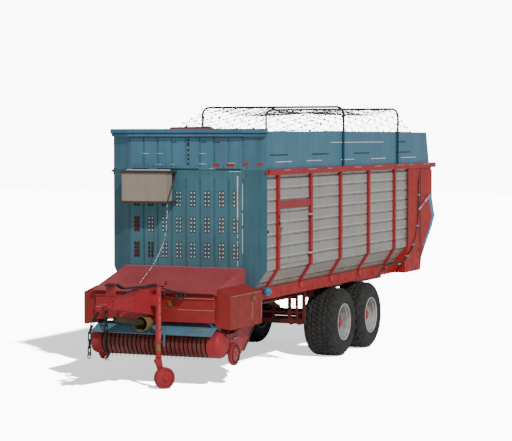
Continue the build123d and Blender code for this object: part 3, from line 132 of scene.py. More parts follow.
class MeshMaker:
    """Collects the corners and faces of one piece and turns them into an object."""

    def __init__(self, origin_y: float = DRAWN_Y) -> None:
        """Starts with no geometry.

        Args:
            origin_y: where Y 0 of the given points lies in the frame.
        """
        self.origin_y = origin_y
        self.points: list[Point] = []
        self.faces: list[tuple[int, ...]] = []

    def block(self, low: Sequence[float], high: Sequence[float]) -> None:
        """Adds an upright box between two corners.

        Args:
            low: corner with the lowest X, Y and Z.
            high: corner with the highest X, Y and Z.
        """
        self.turned_block(
            [(a + b) / 2 for a, b in zip(low, high)], [b - a for a, b in zip(low, high)], Matrix.Identity(3)
        )

    def blocks(self, table: Iterable[Block]) -> None:
        """Adds an upright box for each row of a table.

        Args:
            table: X, Y and Z span of each box.
        """
        for (x0, x1), (y0, y1), (z0, z1) in table:
            self.block((x0, y0, z0), (x1, y1, z1))

    def turned_block(self, centre: Sequence[float], size: Sequence[float], turn: Matrix) -> None:
        """Adds a box turned about its centre.

        Args:
            centre: middle of the box.
            size: edge lengths before turning.
            turn: rotation matrix.
        """
        start = len(self.points)
        middle = Vector(centre)
        for sx in (-0.5, 0.5):
            for sy in (-0.5, 0.5):
                for sz in (-0.5, 0.5):
                    corner = turn @ Vector((sx * size[0], sy * size[1], sz * size[2])) + middle
                    self.points.append(tuple(corner))
        for face in ((0, 1, 3, 2), (4, 6, 7, 5), (0, 4, 5, 1), (2, 3, 7, 6), (0, 2, 6, 4), (1, 5, 7, 3)):
            self.faces.append(tuple(start + corner for corner in face))

    def tube(self, path: Sequence[Point], radius: float, sides: int = 8, closed: bool = False) -> None:
        """Adds a round tube that follows points.

        Args:
            path: points along the middle of the tube.
            radius: outer radius.
            sides: corners of the section.
            closed: True joins the last point to the first.
        """
        start = len(self.points)
        line = [Vector(point) for point in path]
        count = len(line)
        normal = Vector((0.0, 0.0, 1.0))
        for number, here in enumerate(line):
            ahead = line[(number + 1) % count] if closed or number < count - 1 else here
            behind = line[number - 1] if closed or number > 0 else here
            along = (ahead - behind).normalized()
            if abs(along.dot(normal)) > 0.95:
                normal = along.orthogonal()
            normal = (normal - along * along.dot(normal)).normalized()
            across = along.cross(normal)
            for corner in range(sides):
                turn = 2 * math.pi * corner / sides
                self.points.append(tuple(here + (normal * math.cos(turn) + across * math.sin(turn)) * radius))
        for step in range(count if closed else count - 1):
            here, following = step * sides, ((step + 1) % count) * sides
            for corner in range(sides):
                beside = (corner + 1) % sides
                corners = (here + corner, here + beside, following + beside, following + corner)
                self.faces.append(tuple(start + number for number in corners))
        if not closed:
            self.faces.append(tuple(start + corner for corner in reversed(range(sides))))
            self.faces.append(tuple(start + (count - 1) * sides + corner for corner in range(sides)))

    def bolt(self, centre: Point, axis: Point, radius: float, height: float, sides: int = 6) -> None:
        """Adds a bolt head or nut that stands on a surface.

        Args:
            centre: middle of its foot.
            axis: direction in which it stands out.
            radius: across its corners.
            height: how far it stands out.
            sides: 6 for a hexagon, more for a round head.
        """
        foot = Vector(centre)
        self.tube([tuple(foot), tuple(foot + Vector(axis).normalized() * height)], radius, sides)

    def plate(self, outline: Sequence[Point], depth: Point) -> None:
        """Adds a flat plate.

        Args:
            outline: corners of one face, in order.
            depth: from that face to the other one.
        """
        start, count = len(self.points), len(outline)
        self.points += [tuple(point) for point in outline]
        self.points += [tuple(Vector(point) + Vector(depth)) for point in outline]
        self.faces.append(tuple(start + number for number in reversed(range(count))))
        self.faces.append(tuple(start + count + number for number in range(count)))
        for number in range(count):
            beside = (number + 1) % count
            corners = (number, beside, count + beside, count + number)
            self.faces.append(tuple(start + corner for corner in corners))

    def wrap(self, steps: int, rows: int, flipped: bool) -> None:
        """Joins points that lie in rows round an axle into a closed band of faces.

        Args:
            steps: number of rows round the axle.
            rows: points in each row.
            flipped: True turns the faces the other way.
        """
        for step in range(steps):
            here, ahead = step * rows, (step + 1) % steps * rows
            for row in range(rows - 1):
                face = (here + row, ahead + row, ahead + row + 1, here + row + 1)
                self.faces.append(face[::-1] if flipped else face)

    def finish(self, name: str, material: bpy.types.Material, body: str, slot: str | None,
               smooth: bool = False, bevel: float = 0.0) -> bpy.types.Object:
        """Makes the object and lets it ride on a body.

        Args:
            name: the piece's name.
            material: its finish.
            body: the CAD body that it moves with.
            slot: the record's material slot that it belongs to, None for none; not used.
            smooth: True shades it smooth.
            bevel: width of the rounded edges, 0 for none.

        Returns:
            The new object.
        """
        mesh = bpy.data.meshes.new(name)
        mesh.from_pydata([(x, y + self.origin_y, z) for x, y, z in self.points], [], self.faces)
        mesh.validate()
        mesh.update()
        piece = bpy.data.objects.new(name, mesh)
        bpy.context.scene.collection.objects.link(piece)
        mesh.materials.append(material)
        if smooth:
            mesh.shade_smooth()
        if bevel:
            edges = piece.modifiers.new("edges", "BEVEL")
            edges.width = bevel
            edges.segments = 2
            edges.limit_method = "ANGLE"
        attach(piece, body)
        LOG.info("%s: %d faces on %s", name, len(self.faces), body)
        return piece


class GroupMaker:
    """Builds shader node groups with named sockets."""

    def __init__(self, name: str, inputs: Iterable[tuple[str, str, object]],
                 outputs: Iterable[tuple[str, str]]) -> None:
        """Creates the group and its sockets.

        Args:
            name: the group's name.
            inputs: name, socket type and default of each input.
            outputs: name and socket type of each output.
        """
        self.tree = bpy.data.node_groups.new(name, "ShaderNodeTree")
        for title, kind, default in inputs:
            socket = self.tree.interface.new_socket(title, in_out="INPUT", socket_type=kind)
            socket.default_value = default
        for title, kind in outputs:
            self.tree.interface.new_socket(title, in_out="OUTPUT", socket_type=kind)
        self.source = self.tree.nodes.new("NodeGroupInput")
        self.sink = self.tree.nodes.new("NodeGroupOutput")

    def node(self, kind: str, **settings: object) -> bpy.types.Node:
        """Adds a node and sets its properties."""
        return add_node(self.tree, kind, **settings)

    def join(self, source: bpy.types.NodeSocket, target: bpy.types.NodeSocket) -> None:
        """Links two sockets of the group."""
        self.tree.links.new(source, target)


def add_node(tree: bpy.types.NodeTree, kind: str, **settings: object) -> bpy.types.Node:
    """Adds a node to a tree.

    Args:
        tree: the node tree.
        kind: the node's type name.
        settings: properties to set on it.

    Returns:
        The new node.
    """
    node = tree.nodes.new(kind)
    for name, value in settings.items():
        setattr(node, name, value)
    return node


def feed(tree: bpy.types.NodeTree, target: bpy.types.NodeSocket, value: object) -> None:
    """Links a socket to an input, or sets a plain value on it.

    Args:
        tree: the node tree.
        target: the input.
        value: socket, number, vector or colour; a colour gets its alpha here.
    """
    if isinstance(value, bpy.types.NodeSocket):
        tree.links.new(value, target)
    elif target.type == "RGBA":
        target.default_value = (*value, 1.0)
    else:
        target.default_value = value


def feed_all(tree: bpy.types.NodeTree, node: bpy.types.Node, values: dict[str, object]) -> bpy.types.Node:
    """Feeds several inputs of a node.

    Args:
        tree: the node tree.
        node: the node.
        values: socket or plain value of each input by name.

    Returns:
        The node.
    """
    for title, value in values.items():
        feed(tree, node.inputs[title], value)
    return node


def math_node(tree: bpy.types.NodeTree, operation: str, *values: object,
              clamp: bool = False) -> bpy.types.NodeSocket:
    """Adds a Math node fed by sockets or numbers.

    Args:
        tree: the node tree.
        operation: the node's operation.
        values: socket or number of each input in order.
        clamp: True keeps the result between 0 and 1.

    Returns:
        The result's socket.
    """
    node = add_node(tree, "ShaderNodeMath", operation=operation, use_clamp=clamp)
    for target, value in zip(node.inputs, values):
        feed(tree, target, value)
    return node.outputs[0]


def split_place(tree: bpy.types.NodeTree) -> tuple[bpy.types.NodeSocket, Sequence[bpy.types.NodeSocket]]:
    """Reads the object's own coordinates.

    Args:
        tree: the node tree.

    Returns:
        Their socket, and the sockets of X, Y and Z.
    """
    place = add_node(tree, "ShaderNodeTexCoord").outputs["Object"]
    split = add_node(tree, "ShaderNodeSeparateXYZ")
    tree.links.new(place, split.inputs[0])
    return place, split.outputs


def mixed(tree: bpy.types.NodeTree, share: object, first: object, second: object,
          blend: str = "MIX") -> bpy.types.NodeSocket:
    """Mixes two colours.

    Args:
        tree: the node tree.
        share: socket or number, 0 for the first colour.
        first: socket or colour.
        second: socket or colour.
        blend: how they are mixed.

    Returns:
        The colour's socket.
    """
    node = add_node(tree, "ShaderNodeMix", data_type="RGBA", blend_type=blend)
    for number, value in ((0, share), (6, first), (7, second)):
        feed(tree, node.inputs[number], value)
    return node.outputs[2]


def noise(tree: bpy.types.NodeTree, place: bpy.types.NodeSocket, scale: float,
          stretch: Point = (1.0, 1.0, 1.0), detail: float = 4.0, low: float = 0.4,
          high: float = 0.6) -> bpy.types.NodeSocket:
    """Noise over the object's own coordinates, spread from 0 to 1.

    Args:
        tree: the node tree.
        place: socket with the coordinates.
        scale: the noise's scale.
        stretch: factor on each axis; a small one draws streaks along that axis.
        detail: the noise's detail.
        low: noise value that becomes 0.
        high: noise value that becomes 1.

    Returns:
        The value's socket.
    """
    mapping = feed_all(tree, add_node(tree, "ShaderNodeMapping"), {"Scale": stretch, "Vector": place})
    texture = feed_all(tree, add_node(tree, "ShaderNodeTexNoise"),
                       {"Scale": scale, "Detail": detail, "Vector": mapping.outputs[0]})
    spread = feed_all(tree, add_node(tree, "ShaderNodeMapRange"),
                      {"From Min": low, "From Max": high, "Value": texture.outputs[0]})
    return spread.outputs[0]


def weather_group() -> bpy.types.NodeTree:
    """Builds the weathering: faded blotches, rain streaks, specks and dust that is thicker below.

    Returns:
        The node group.
    """
    group = GroupMaker(
        "weathering",
        [
            ("Paint", "NodeSocketColor", GREY_PAINT),
            ("Faded", "NodeSocketColor", GREY_PAINT),
            ("Dust", "NodeSocketColor", GREY_PAINT),
            ("Fading", "NodeSocketFloat", 0.5),
            ("Streaks", "NodeSocketFloat", 0.3),
            ("Dusting", "NodeSocketFloat", 0.3),
        ],
        [("Colour", "NodeSocketColor"), ("Roughness", "NodeSocketFloat"), ("Height", "NodeSocketFloat")],
    )
    tree = group.tree
    place, (_, _, height) = split_place(tree)
    paint, faded, dust, fading, streaking, dusting = group.source.outputs[:6]
    blotch = math_node(tree, "MULTIPLY", noise(tree, place, 2.3, low=0.35, high=0.68), fading, clamp=True)
    base = mixed(tree, blotch, paint, faded)
    streaks = noise(tree, place, 9.0, stretch=(1.0, 1.0, 0.06), low=0.48, high=0.66)
    base = mixed(tree, math_node(tree, "MULTIPLY", streaks, streaking, clamp=True), base, dust)
    low_down = feed_all(tree, group.node("ShaderNodeMapRange"),
                        {"From Min": 0.2, "From Max": 2.2, "To Min": 1.0, "To Max": 0.25, "Value": height})
    patches = noise(tree, place, 6.5, detail=7.0, low=0.38, high=0.66)
    dusty = math_node(tree, "MULTIPLY", patches, low_down.outputs[0])
    amount = math_node(tree, "MULTIPLY", dusty, dusting, clamp=True)
    base = mixed(tree, amount, base, dust)
    specks = noise(tree, place, 95.0, detail=2.0, low=0.66, high=0.72)
    base = mixed(tree, math_node(tree, "MULTIPLY", specks, 0.35), base, dust)
    group.join(base, group.sink.inputs["Colour"])
    group.join(math_node(tree, "MULTIPLY_ADD", amount, 0.35, 0.42), group.sink.inputs["Roughness"])
    dents = math_node(tree, "MULTIPLY", noise(tree, place, 3.1, detail=2.0, low=0.3, high=0.7), 0.6)
    grain = math_node(tree, "MULTIPLY", noise(tree, place, 240.0, detail=2.0, low=0.3, high=0.7), 0.05)
    group.join(math_node(tree, "ADD", dents, grain), group.sink.inputs["Height"])
    return tree


@dataclass(frozen=True)
class Finish:
    """What every finish shares: a name and a way to start its material."""

    name: str

    def start(self) -> tuple[bpy.types.Material, bpy.types.NodeTree, bpy.types.Node]:
        """Makes an empty node material.

        Returns:
            The material, its tree and its Principled BSDF.
        """
        material = bpy.data.materials.new(self.name)
        material.use_nodes = True
        tree = material.node_tree
        return material, tree, tree.nodes["Principled BSDF"]

    def bump(self, tree: bpy.types.NodeTree, shader: bpy.types.Node, height: bpy.types.NodeSocket,
             distance: float) -> None:
        """Feeds a height to the shader's normal through a Bump node.

        Args:
            tree: the material's tree.
            shader: its Principled BSDF.
            height: socket with the height, 0 to 1.
            distance: what a height of 1 is, in metres.
        """
        node = feed_all(tree, add_node(tree, "ShaderNodeBump"), {"Distance": distance, "Height": height})
        tree.links.new(node.outputs[0], shader.inputs["Normal"])


@dataclass(frozen=True)
class PaintFinish(Finish):
    """Weathered paint on sheet steel."""

    paint: Colour
    faded: Colour
    dust: Colour
    fading: float = 0.6
    streaks: float = 0.25
    dusting: float = 0.4
    coat: float = 0.15
    specular: float = 0.25
    bump_depth: float = 0.0015

    def material(self, weathering: bpy.types.NodeTree) -> bpy.types.Material:
        """Builds the paint's material around the weathering group.

        Args:
            weathering: the shared node group for weathered paint.

        Returns:
            The material.
        """
        material, tree, shader = self.start()
        group = feed_all(tree, add_node(tree, "ShaderNodeGroup", node_tree=weathering), {
            "Paint": self.paint, "Faded": self.faded, "Dust": self.dust,
            "Fading": self.fading, "Streaks": self.streaks, "Dusting": self.dusting,
        })
        feed_all(tree, shader, {
            "Base Color": group.outputs["Colour"],
            "Roughness": group.outputs["Roughness"],
            "Metallic": 0.0,
            "Specular IOR Level": self.specular,
            "Coat Weight": self.coat,
            "Coat Roughness": 0.25,
        })
        self.bump(tree, shader, group.outputs["Height"], self.bump_depth)
        return material


@dataclass(frozen=True)
class RibbedSheetFinish(PaintFinish):
    """Grey wall sheet with a painted shade line in each rolled groove and a painted highlight on each rib's
    upper edge.
    """

    foot: float = 1.28
    pitch: float = 0.168
    # Colour of the painted shade in each groove, and of the painted highlight on each rib's upper edge
    groove: Colour = (0.06, 0.058, 0.052)
    edge: Colour = (0.62, 0.62, 0.59)
    # Middle and width of the painted shade line and the painted highlight line, as shares of a rib
    dark_line: Span = (0.52, 0.17)
    light_line: Span = (0.72, 0.24)
    # Multiplied in below foot_top: painted shade and painted reflection of the red beam, with dust
    foot_shade: Colour = (0.80, 0.72, 0.66)
    foot_top: float = 1.64

    def material(self, weathering: bpy.types.NodeTree) -> bpy.types.Material:
        """Builds the sheet's material: paint with a painted shade line and a painted highlight line at each
        groove.

        Args:
            weathering: the shared node group for weathered paint.

        Returns:
            The material.
        """
        material = PaintFinish.material(self, weathering)
        tree = material.node_tree
        shader = tree.nodes["Principled BSDF"]
        painted = shader.inputs["Base Color"].links[0].from_socket
        place, (_, _, height) = split_place(tree)
        waves = noise(tree, place, 5.0, stretch=(1.0, 1.0, 0.1), low=0.2, high=0.8)
        wander = math_node(tree, "MULTIPLY", waves, 0.12)
        turn = math_node(tree, "DIVIDE", math_node(tree, "SUBTRACT", height, self.foot), self.pitch)
        phase = math_node(tree, "FRACT", math_node(tree, "ADD", turn, wander))
        dark = self.line(tree, phase, *self.dark_line)
        light = self.line(tree, phase, *self.light_line)
        # Patches that break up the painted shade line
        worn = noise(tree, place, 11.0, stretch=(1.0, 0.5, 2.0), low=0.3, high=0.62)
        dark = math_node(tree, "MULTIPLY", dark, math_node(tree, "MULTIPLY_ADD", worn, 0.6, 0.2))
        colour = mixed(tree, dark, painted, self.groove)
        colour = mixed(tree, math_node(tree, "MULTIPLY", light, 0.6), colour, self.edge)
        # Painted shade and painted reflection of the red beam, with dust, below foot_top
        below = math_node(tree, "SUBTRACT", self.foot_top, height)
        colour = mixed(tree, math_node(tree, "MULTIPLY", below, 4.0, clamp=True), colour, self.foot_shade,
                       blend="MULTIPLY")
        tree.links.new(colour, shader.inputs["Base Color"])
        return material

    def line(self, tree: bpy.types.NodeTree, phase: bpy.types.NodeSocket, middle: float,
             width: float) -> bpy.types.NodeSocket:
        """A soft line across the rib's phase.

        Args:
            tree: the material's tree.
            phase: socket that goes from 0 to 1 over each rib.
            middle: phase at the middle of the line.
            width: the line's width as a share of the rib.

        Returns:
            Socket that is 1 on the line and 0 beside it.
        """
        away = math_node(tree, "ABSOLUTE", math_node(tree, "SUBTRACT", phase, middle))
        return math_node(tree, "SUBTRACT", 1.0, math_node(tree, "DIVIDE", away, width / 2), clamp=True)


@dataclass(frozen=True)
class CornerShadeFinish(PaintFinish):
    """Blue of the front wall: the slanted corners get painted shade, and patches beside the grooves are
    darker.
    """

    # Painted shade: beyond this X the slanted corners are multiplied by shade
    corner: float = 0.9
    shade: Colour = (0.66, 0.69, 0.72)
    first_groove: float = -0.894
    pitch: float = 0.2235
    groove_darkening: Colour = (0.78, 0.77, 0.74)

    def material(self, weathering: bpy.types.NodeTree) -> bpy.types.Material:
        """Builds the material: paint multiplied by the corners' painted shade and by a darker tone in patches
        beside the grooves.

        Args:
            weathering: the shared node group for weathered paint.

        Returns:
            The material.
        """
        material = PaintFinish.material(self, weathering)
        tree = material.node_tree
        shader = tree.nodes["Principled BSDF"]
        painted = shader.inputs["Base Color"].links[0].from_socket
        place, (across, _, _) = split_place(tree)
        away = math_node(tree, "ABSOLUTE", across)
        # Painted shade on the slanted corners
        beyond = math_node(tree, "MULTIPLY", math_node(tree, "SUBTRACT", away, self.corner), 60.0, clamp=True)
        colour = mixed(tree, beyond, painted, self.shade, blend="MULTIPLY")
        turn = math_node(tree, "DIVIDE", math_node(tree, "SUBTRACT", across, self.first_groove), self.pitch)
        off = math_node(tree, "ABSOLUTE", math_node(tree, "SUBTRACT", math_node(tree, "FRACT", turn), 0.5))
        near = math_node(tree, "SUBTRACT", math_node(tree, "MULTIPLY", off, 5.0), 1.7, clamp=True)
        patches = noise(tree, place, 5.0, stretch=(3.0, 1.0, 0.5), low=0.40, high=0.62)
        groove_darkened = math_node(tree, "MULTIPLY", math_node(tree, "MULTIPLY", near, patches), 0.9)
        colour = mixed(tree, groove_darkened, colour, self.groove_darkening, blend="MULTIPLY")
        tree.links.new(colour, shader.inputs["Base Color"])
        return material


@dataclass(frozen=True)
class RubberFinish(Finish):
    """Tyre or hose rubber with dust in its low places."""

    rubber: Colour
    dust: Colour
    dusting: float = 0.35
    roughness: float = 0.78
    bump_depth: float = 0.002

    def material(self, weathering: bpy.types.NodeTree) -> bpy.types.Material:
        """Builds the rubber's material.

        Args:
            weathering: the shared node group for weathered paint; not used.

        Returns:
            The material.
        """
        material, tree, shader = self.start()
        place = add_node(tree, "ShaderNodeTexCoord").outputs["Object"]
        patches = noise(tree, place, 9.0, detail=6.0, low=0.4, high=0.7)
        specks = noise(tree, place, 70.0, detail=3.0, low=0.5, high=0.75)
        dirt = math_node(tree, "ADD", patches, specks)
        amount = math_node(tree, "MULTIPLY", dirt, self.dusting, clamp=True)
        colour = mixed(tree, amount, self.rubber, self.dust)
        feed_all(tree, shader, {"Base Color": colour, "Roughness": self.roughness})
        self.bump(tree, shader, specks, self.bump_depth)
        return material


@dataclass(frozen=True)
class BareMetalFinish(Finish):
    """Bare or plated steel with rust in patches."""

    metal: Colour
    rust: Colour
    rusting: float = 0.3
    metallic: float = 0.8
    roughness: float = 0.45

    def material(self, weathering: bpy.types.NodeTree) -> bpy.types.Material:
        """Builds the metal's material.

        Args:
            weathering: the shared node group for weathered paint; not used.

        Returns:
            The material.
        """
        material, tree, shader = self.start()
        place = add_node(tree, "ShaderNodeTexCoord").outputs["Object"]
        patches = noise(tree, place, 16.0, detail=6.0, low=0.42, high=0.66)
        amount = math_node(tree, "MULTIPLY", patches, self.rusting, clamp=True)
        feed_all(tree, shader, {
            "Base Color": mixed(tree, amount, self.metal, self.rust),
            "Roughness": math_node(tree, "MULTIPLY_ADD", patches, 0.3, self.roughness),
            "Metallic": self.metallic,
        })
        self.bump(tree, shader, patches, 0.0006)
        return material


@dataclass(frozen=True)
class CordFinish(Finish):
    """Twisted cord."""

    light: Colour
    dark: Colour
    scale: float = 120.0

    def material(self, weathering: bpy.types.NodeTree) -> bpy.types.Material:
        """Builds the cord's material.

        Args:
            weathering: the shared node group for weathered paint; not used.

        Returns:
            The material.
        """
        material, tree, shader = self.start()
        place = add_node(tree, "ShaderNodeTexCoord").outputs["Object"]
        twist = noise(tree, place, self.scale, stretch=(1.0, 1.0, 0.6), low=0.47, high=0.55)
        feed_all(tree, shader, {"Base Color": mixed(tree, twist, self.light, self.dark), "Roughness": 0.9})
        self.bump(tree, shader, twist, 0.001)
        return material


DUST = (0.36, 0.31, 0.25)
FINISHES: dict[str, Finish] = {
    "red_paint": PaintFinish("red paint", (0.49, 0.018, 0.020), (0.53, 0.032, 0.033),
                             (0.20, 0.030, 0.026), dusting=0.5, coat=0.05),
    "drawbar_red": PaintFinish("drawbar red", (0.42, 0.028, 0.036), (0.46, 0.045, 0.055),
                               (0.18, 0.035, 0.03), dusting=0.5, coat=0.05),
    "frame_red": PaintFinish("darker frame red", (0.37, 0.018, 0.026), (0.42, 0.028, 0.036),
                             (0.22, 0.035, 0.03), dusting=0.5, coat=0.03),
    "gate_red": PaintFinish("rear corner red", (0.42, 0.018, 0.019), (0.45, 0.028, 0.027),
                            (0.18, 0.030, 0.024), dusting=0.5, coat=0.0, specular=0.15),
    # Red of the frame parts under the floor, darkened as painted shade for the body's shadow over them
    "under_red": PaintFinish("grimy red below the floor", (0.15, 0.012, 0.013), (0.2, 0.022, 0.02),
                             (0.06, 0.025, 0.02), dusting=0.9, coat=0.0),
    "hood_paint": PaintFinish("faded hood paint", (0.40, 0.042, 0.052), (0.46, 0.078, 0.090),
                              (0.34, 0.12, 0.11), dusting=0.35, coat=0.03),
    "face_red": PaintFinish("folded face red", (0.39, 0.021, 0.024), (0.43, 0.036, 0.038),
                            (0.20, 0.045, 0.035), dusting=0.6, coat=0.03),
    "box_red": PaintFinish("side box red", (0.33, 0.026, 0.025), (0.37, 0.038, 0.036),
                           (0.16, 0.055, 0.035), dusting=0.6, coat=0.0, specular=0.12),
    "blue_paint": PaintFinish("blue paint", (0.054, 0.185, 0.275), (0.080, 0.245, 0.36),
                              (0.085, 0.125, 0.13), streaks=0.3, dusting=0.35, coat=0.05),
    # Lighter copy of the blue paint, partly painted light: it lifts the hood's shadow on the baffle
    "baffle_blue": PaintFinish("baffle blue", (0.085, 0.245, 0.36), (0.13, 0.30, 0.41),
                               (0.12, 0.13, 0.12), dusting=0.5, coat=0.05),
    "plate_green": PaintFinish("pale green plate", (0.22, 0.28, 0.17), (0.3, 0.36, 0.24),
                               (0.15, 0.15, 0.1), dusting=0.5, coat=0.0),
    "edge_blue": PaintFinish("fresh blue edge", (0.06, 0.26, 0.46), (0.1, 0.34, 0.52), (0.10, 0.14, 0.16),
                             dusting=0.4, coat=0.1),
    "hoop_blue": PaintFinish("dull hoop blue", (0.012, 0.055, 0.085), (0.025, 0.085, 0.12),
                             (0.03, 0.05, 0.055), dusting=0.3, coat=0.0),
    "front_blue": CornerShadeFinish("front wall blue", (0.062, 0.185, 0.235), (0.092, 0.24, 0.31),
                                    (0.075, 0.115, 0.12), streaks=0.4, dusting=0.35, coat=0.05),
    "upper_blue": CornerShadeFinish("upper front blue", (0.078, 0.215, 0.315), (0.11, 0.28, 0.40),
                                    (0.09, 0.13, 0.14), streaks=0.4, dusting=0.35, coat=0.05,
                                    shade=(0.75, 0.77, 0.78)),
    "wall_sheet": RibbedSheetFinish("grey wall sheet", (0.35, 0.345, 0.315), (0.43, 0.425, 0.40),
                                    (0.22, 0.19, 0.14), streaks=0.12, dusting=0.5, coat=0.0),
    "box_sheet": PaintFinish("dull silver box", (0.34, 0.29, 0.23), (0.42, 0.37, 0.3), (0.25, 0.2, 0.15)),
    "brown_paint": PaintFinish("rust brown edge", (0.055, 0.035, 0.024), (0.08, 0.05, 0.035),
                               (0.12, 0.08, 0.05)),
    "blue_gloss": PaintFinish("bright blue gloss", (0.012, 0.17, 0.36), (0.035, 0.27, 0.46), DUST,
                              fading=0.4, streaks=0.05, dusting=0.1, coat=0.6),
    "zinc_steel": BareMetalFinish("zinc plated steel", (0.55, 0.56, 0.57), (0.25, 0.2, 0.15)),
    "floor_steel": BareMetalFinish("worn floor steel", (0.3, 0.29, 0.28), (0.16, 0.1, 0.06), rusting=0.7),
    "tine_steel": BareMetalFinish("rusty spring steel", (0.09, 0.045, 0.04), (0.14, 0.05, 0.035),
                                  rusting=0.8, metallic=0.3, roughness=0.5),
    "band_steel": PaintFinish("rubbed red bands", (0.22, 0.034, 0.03), (0.30, 0.09, 0.075),
                              (0.07, 0.03, 0.025), fading=0.8, dusting=0.6, coat=0.0),
    # Yellow guard plastic darkened to olive: painted shade for the shaft's place under the drawbar
    "shaft_guard": PaintFinish("dark olive shaft guard", (0.045, 0.04, 0.02), (0.08, 0.07, 0.03),
                               (0.05, 0.035, 0.02), dusting=0.7, coat=0.0),
    "dish_shade": PaintFinish("shaded rim dish", (0.12, 0.13, 0.115), (0.18, 0.19, 0.17),
                              (0.08, 0.07, 0.06), dusting=0.7, coat=0.0),
    "chain_steel": BareMetalFinish("oiled chain", (0.035, 0.04, 0.04), (0.06, 0.05, 0.045), metallic=0.5),
    "guard_plastic": PaintFinish("dirty yellow guard", (0.2, 0.17, 0.035), (0.26, 0.2, 0.08),
                                 (0.12, 0.09, 0.04), dusting=0.8, coat=0.0),
    "hose_rubber": RubberFinish("hose rubber", (0.018, 0.018, 0.018), (0.1, 0.09, 0.08), dusting=0.2,
                                roughness=0.55),
    "rope_cord": CordFinish("pale twisted cord", (0.75, 0.84, 0.84), (0.10, 0.16, 0.18), 26.0),
    "tyre_rubber": RubberFinish("tyre rubber", (0.016, 0.016, 0.016), (0.07, 0.065, 0.055)),
    "rim_grey": PaintFinish("grey rim paint", (0.42, 0.44, 0.41), (0.5, 0.52, 0.49), (0.2, 0.18, 0.15),
                            dusting=0.8),
    "rim_light": PaintFinish("light rim edge", (0.6, 0.62, 0.6), (0.7, 0.7, 0.68), (0.3, 0.28, 0.25),
                             dusting=0.4),
    # Painted highlights on the front wall's folds and edges and on the side panels' rolled lines
    "light_edge": PaintFinish("worn light edge", (0.62, 0.7, 0.72), (0.75, 0.8, 0.8), (0.3, 0.38, 0.4),
                              fading=0.8, streaks=0.1, dusting=0.7, coat=0.0),
    # Painted highlights on red edges, the rail and the jack tube; also the pale arm brackets
    "light_rust": PaintFinish("pink worn edge", (0.55, 0.27, 0.25), (0.7, 0.45, 0.42), (0.4, 0.12, 0.1),
                              fading=0.8, streaks=0.1, dusting=0.7, coat=0.0),
    "dark_gap": RubberFinish("dark gap", (0.02, 0.024, 0.026), (0.05, 0.05, 0.045), dusting=0.2),
    # Painted light: daylight seen through the front wall's slots, and the sunlit top edge of the control box
    "daylight": PaintFinish("pale sheet behind slots", (0.72, 0.75, 0.75), (0.8, 0.8, 0.8),
                            (0.4, 0.45, 0.45), coat=0.0),
    "net_cord": CordFinish("net cord", (0.16, 0.2, 0.22), (0.08, 0.1, 0.11)),
}

# Nodes whose finish differs in tone from the others of their slot, by finish
OWN_NODES = {
    "front_blue": ("front_wall",),
    "upper_blue": ("front_top",),
    "baffle_blue": ("baffle",),
    "hoop_blue": ("roof_hoops",),
    "shaft_guard": ("pto_shaft",),
    "chain_steel": ("couplings",),
    "face_red": ("front_face",),
    "box_red": ("side_boxes",),
    "frame_red": ("side_frames",),
    "drawbar_red": ("drawbar", "towing_eye", "jack_tube", "jack_leg", "jack_wheel", "pickup_frame",
                    "gauge_wheel_left", "gauge_wheel_right", "coupling_holder"),
    "gate_red": ("tailgate_sides", "rear_frame", "main_beams"),
    # Parts under the floor, in the body's shadow, take the painted shade red
    "under_red": ("carrier_frame", "cross_members", "pickup_hangers", "drive_shaft", "bogies", "axles"),
}
OWN_FINISHES = {node: finish for finish, nodes in OWN_NODES.items() for node in nodes}


class Paintshop:
    """Makes each finish once and dresses the CAD nodes with the slots that the record gives them."""

    def __init__(self) -> None:
        """Builds the shared weathering group and every finish."""
        weathering = weather_group()
        self.materials = {slot: finish.material(weathering) for slot, finish in FINISHES.items()}

    def __getitem__(self, slot: str) -> bpy.types.Material:
        """The material of a slot."""
        return self.materials[slot]

    def dress(self, frame: dict) -> None:
        """Gives every CAD node the finish of its slot in the record, or the closer one of its own.
        """
        for part in frame["record"]["subparts"]:
            finish = OWN_FINISHES.get(part["node"], part["material_slot"])
            node = frame["nodes"][part["node"]]
            node.data.materials.clear()
            node.data.materials.append(self.materials[finish])
            LOG.info("%s: %s", part["node"], finish)


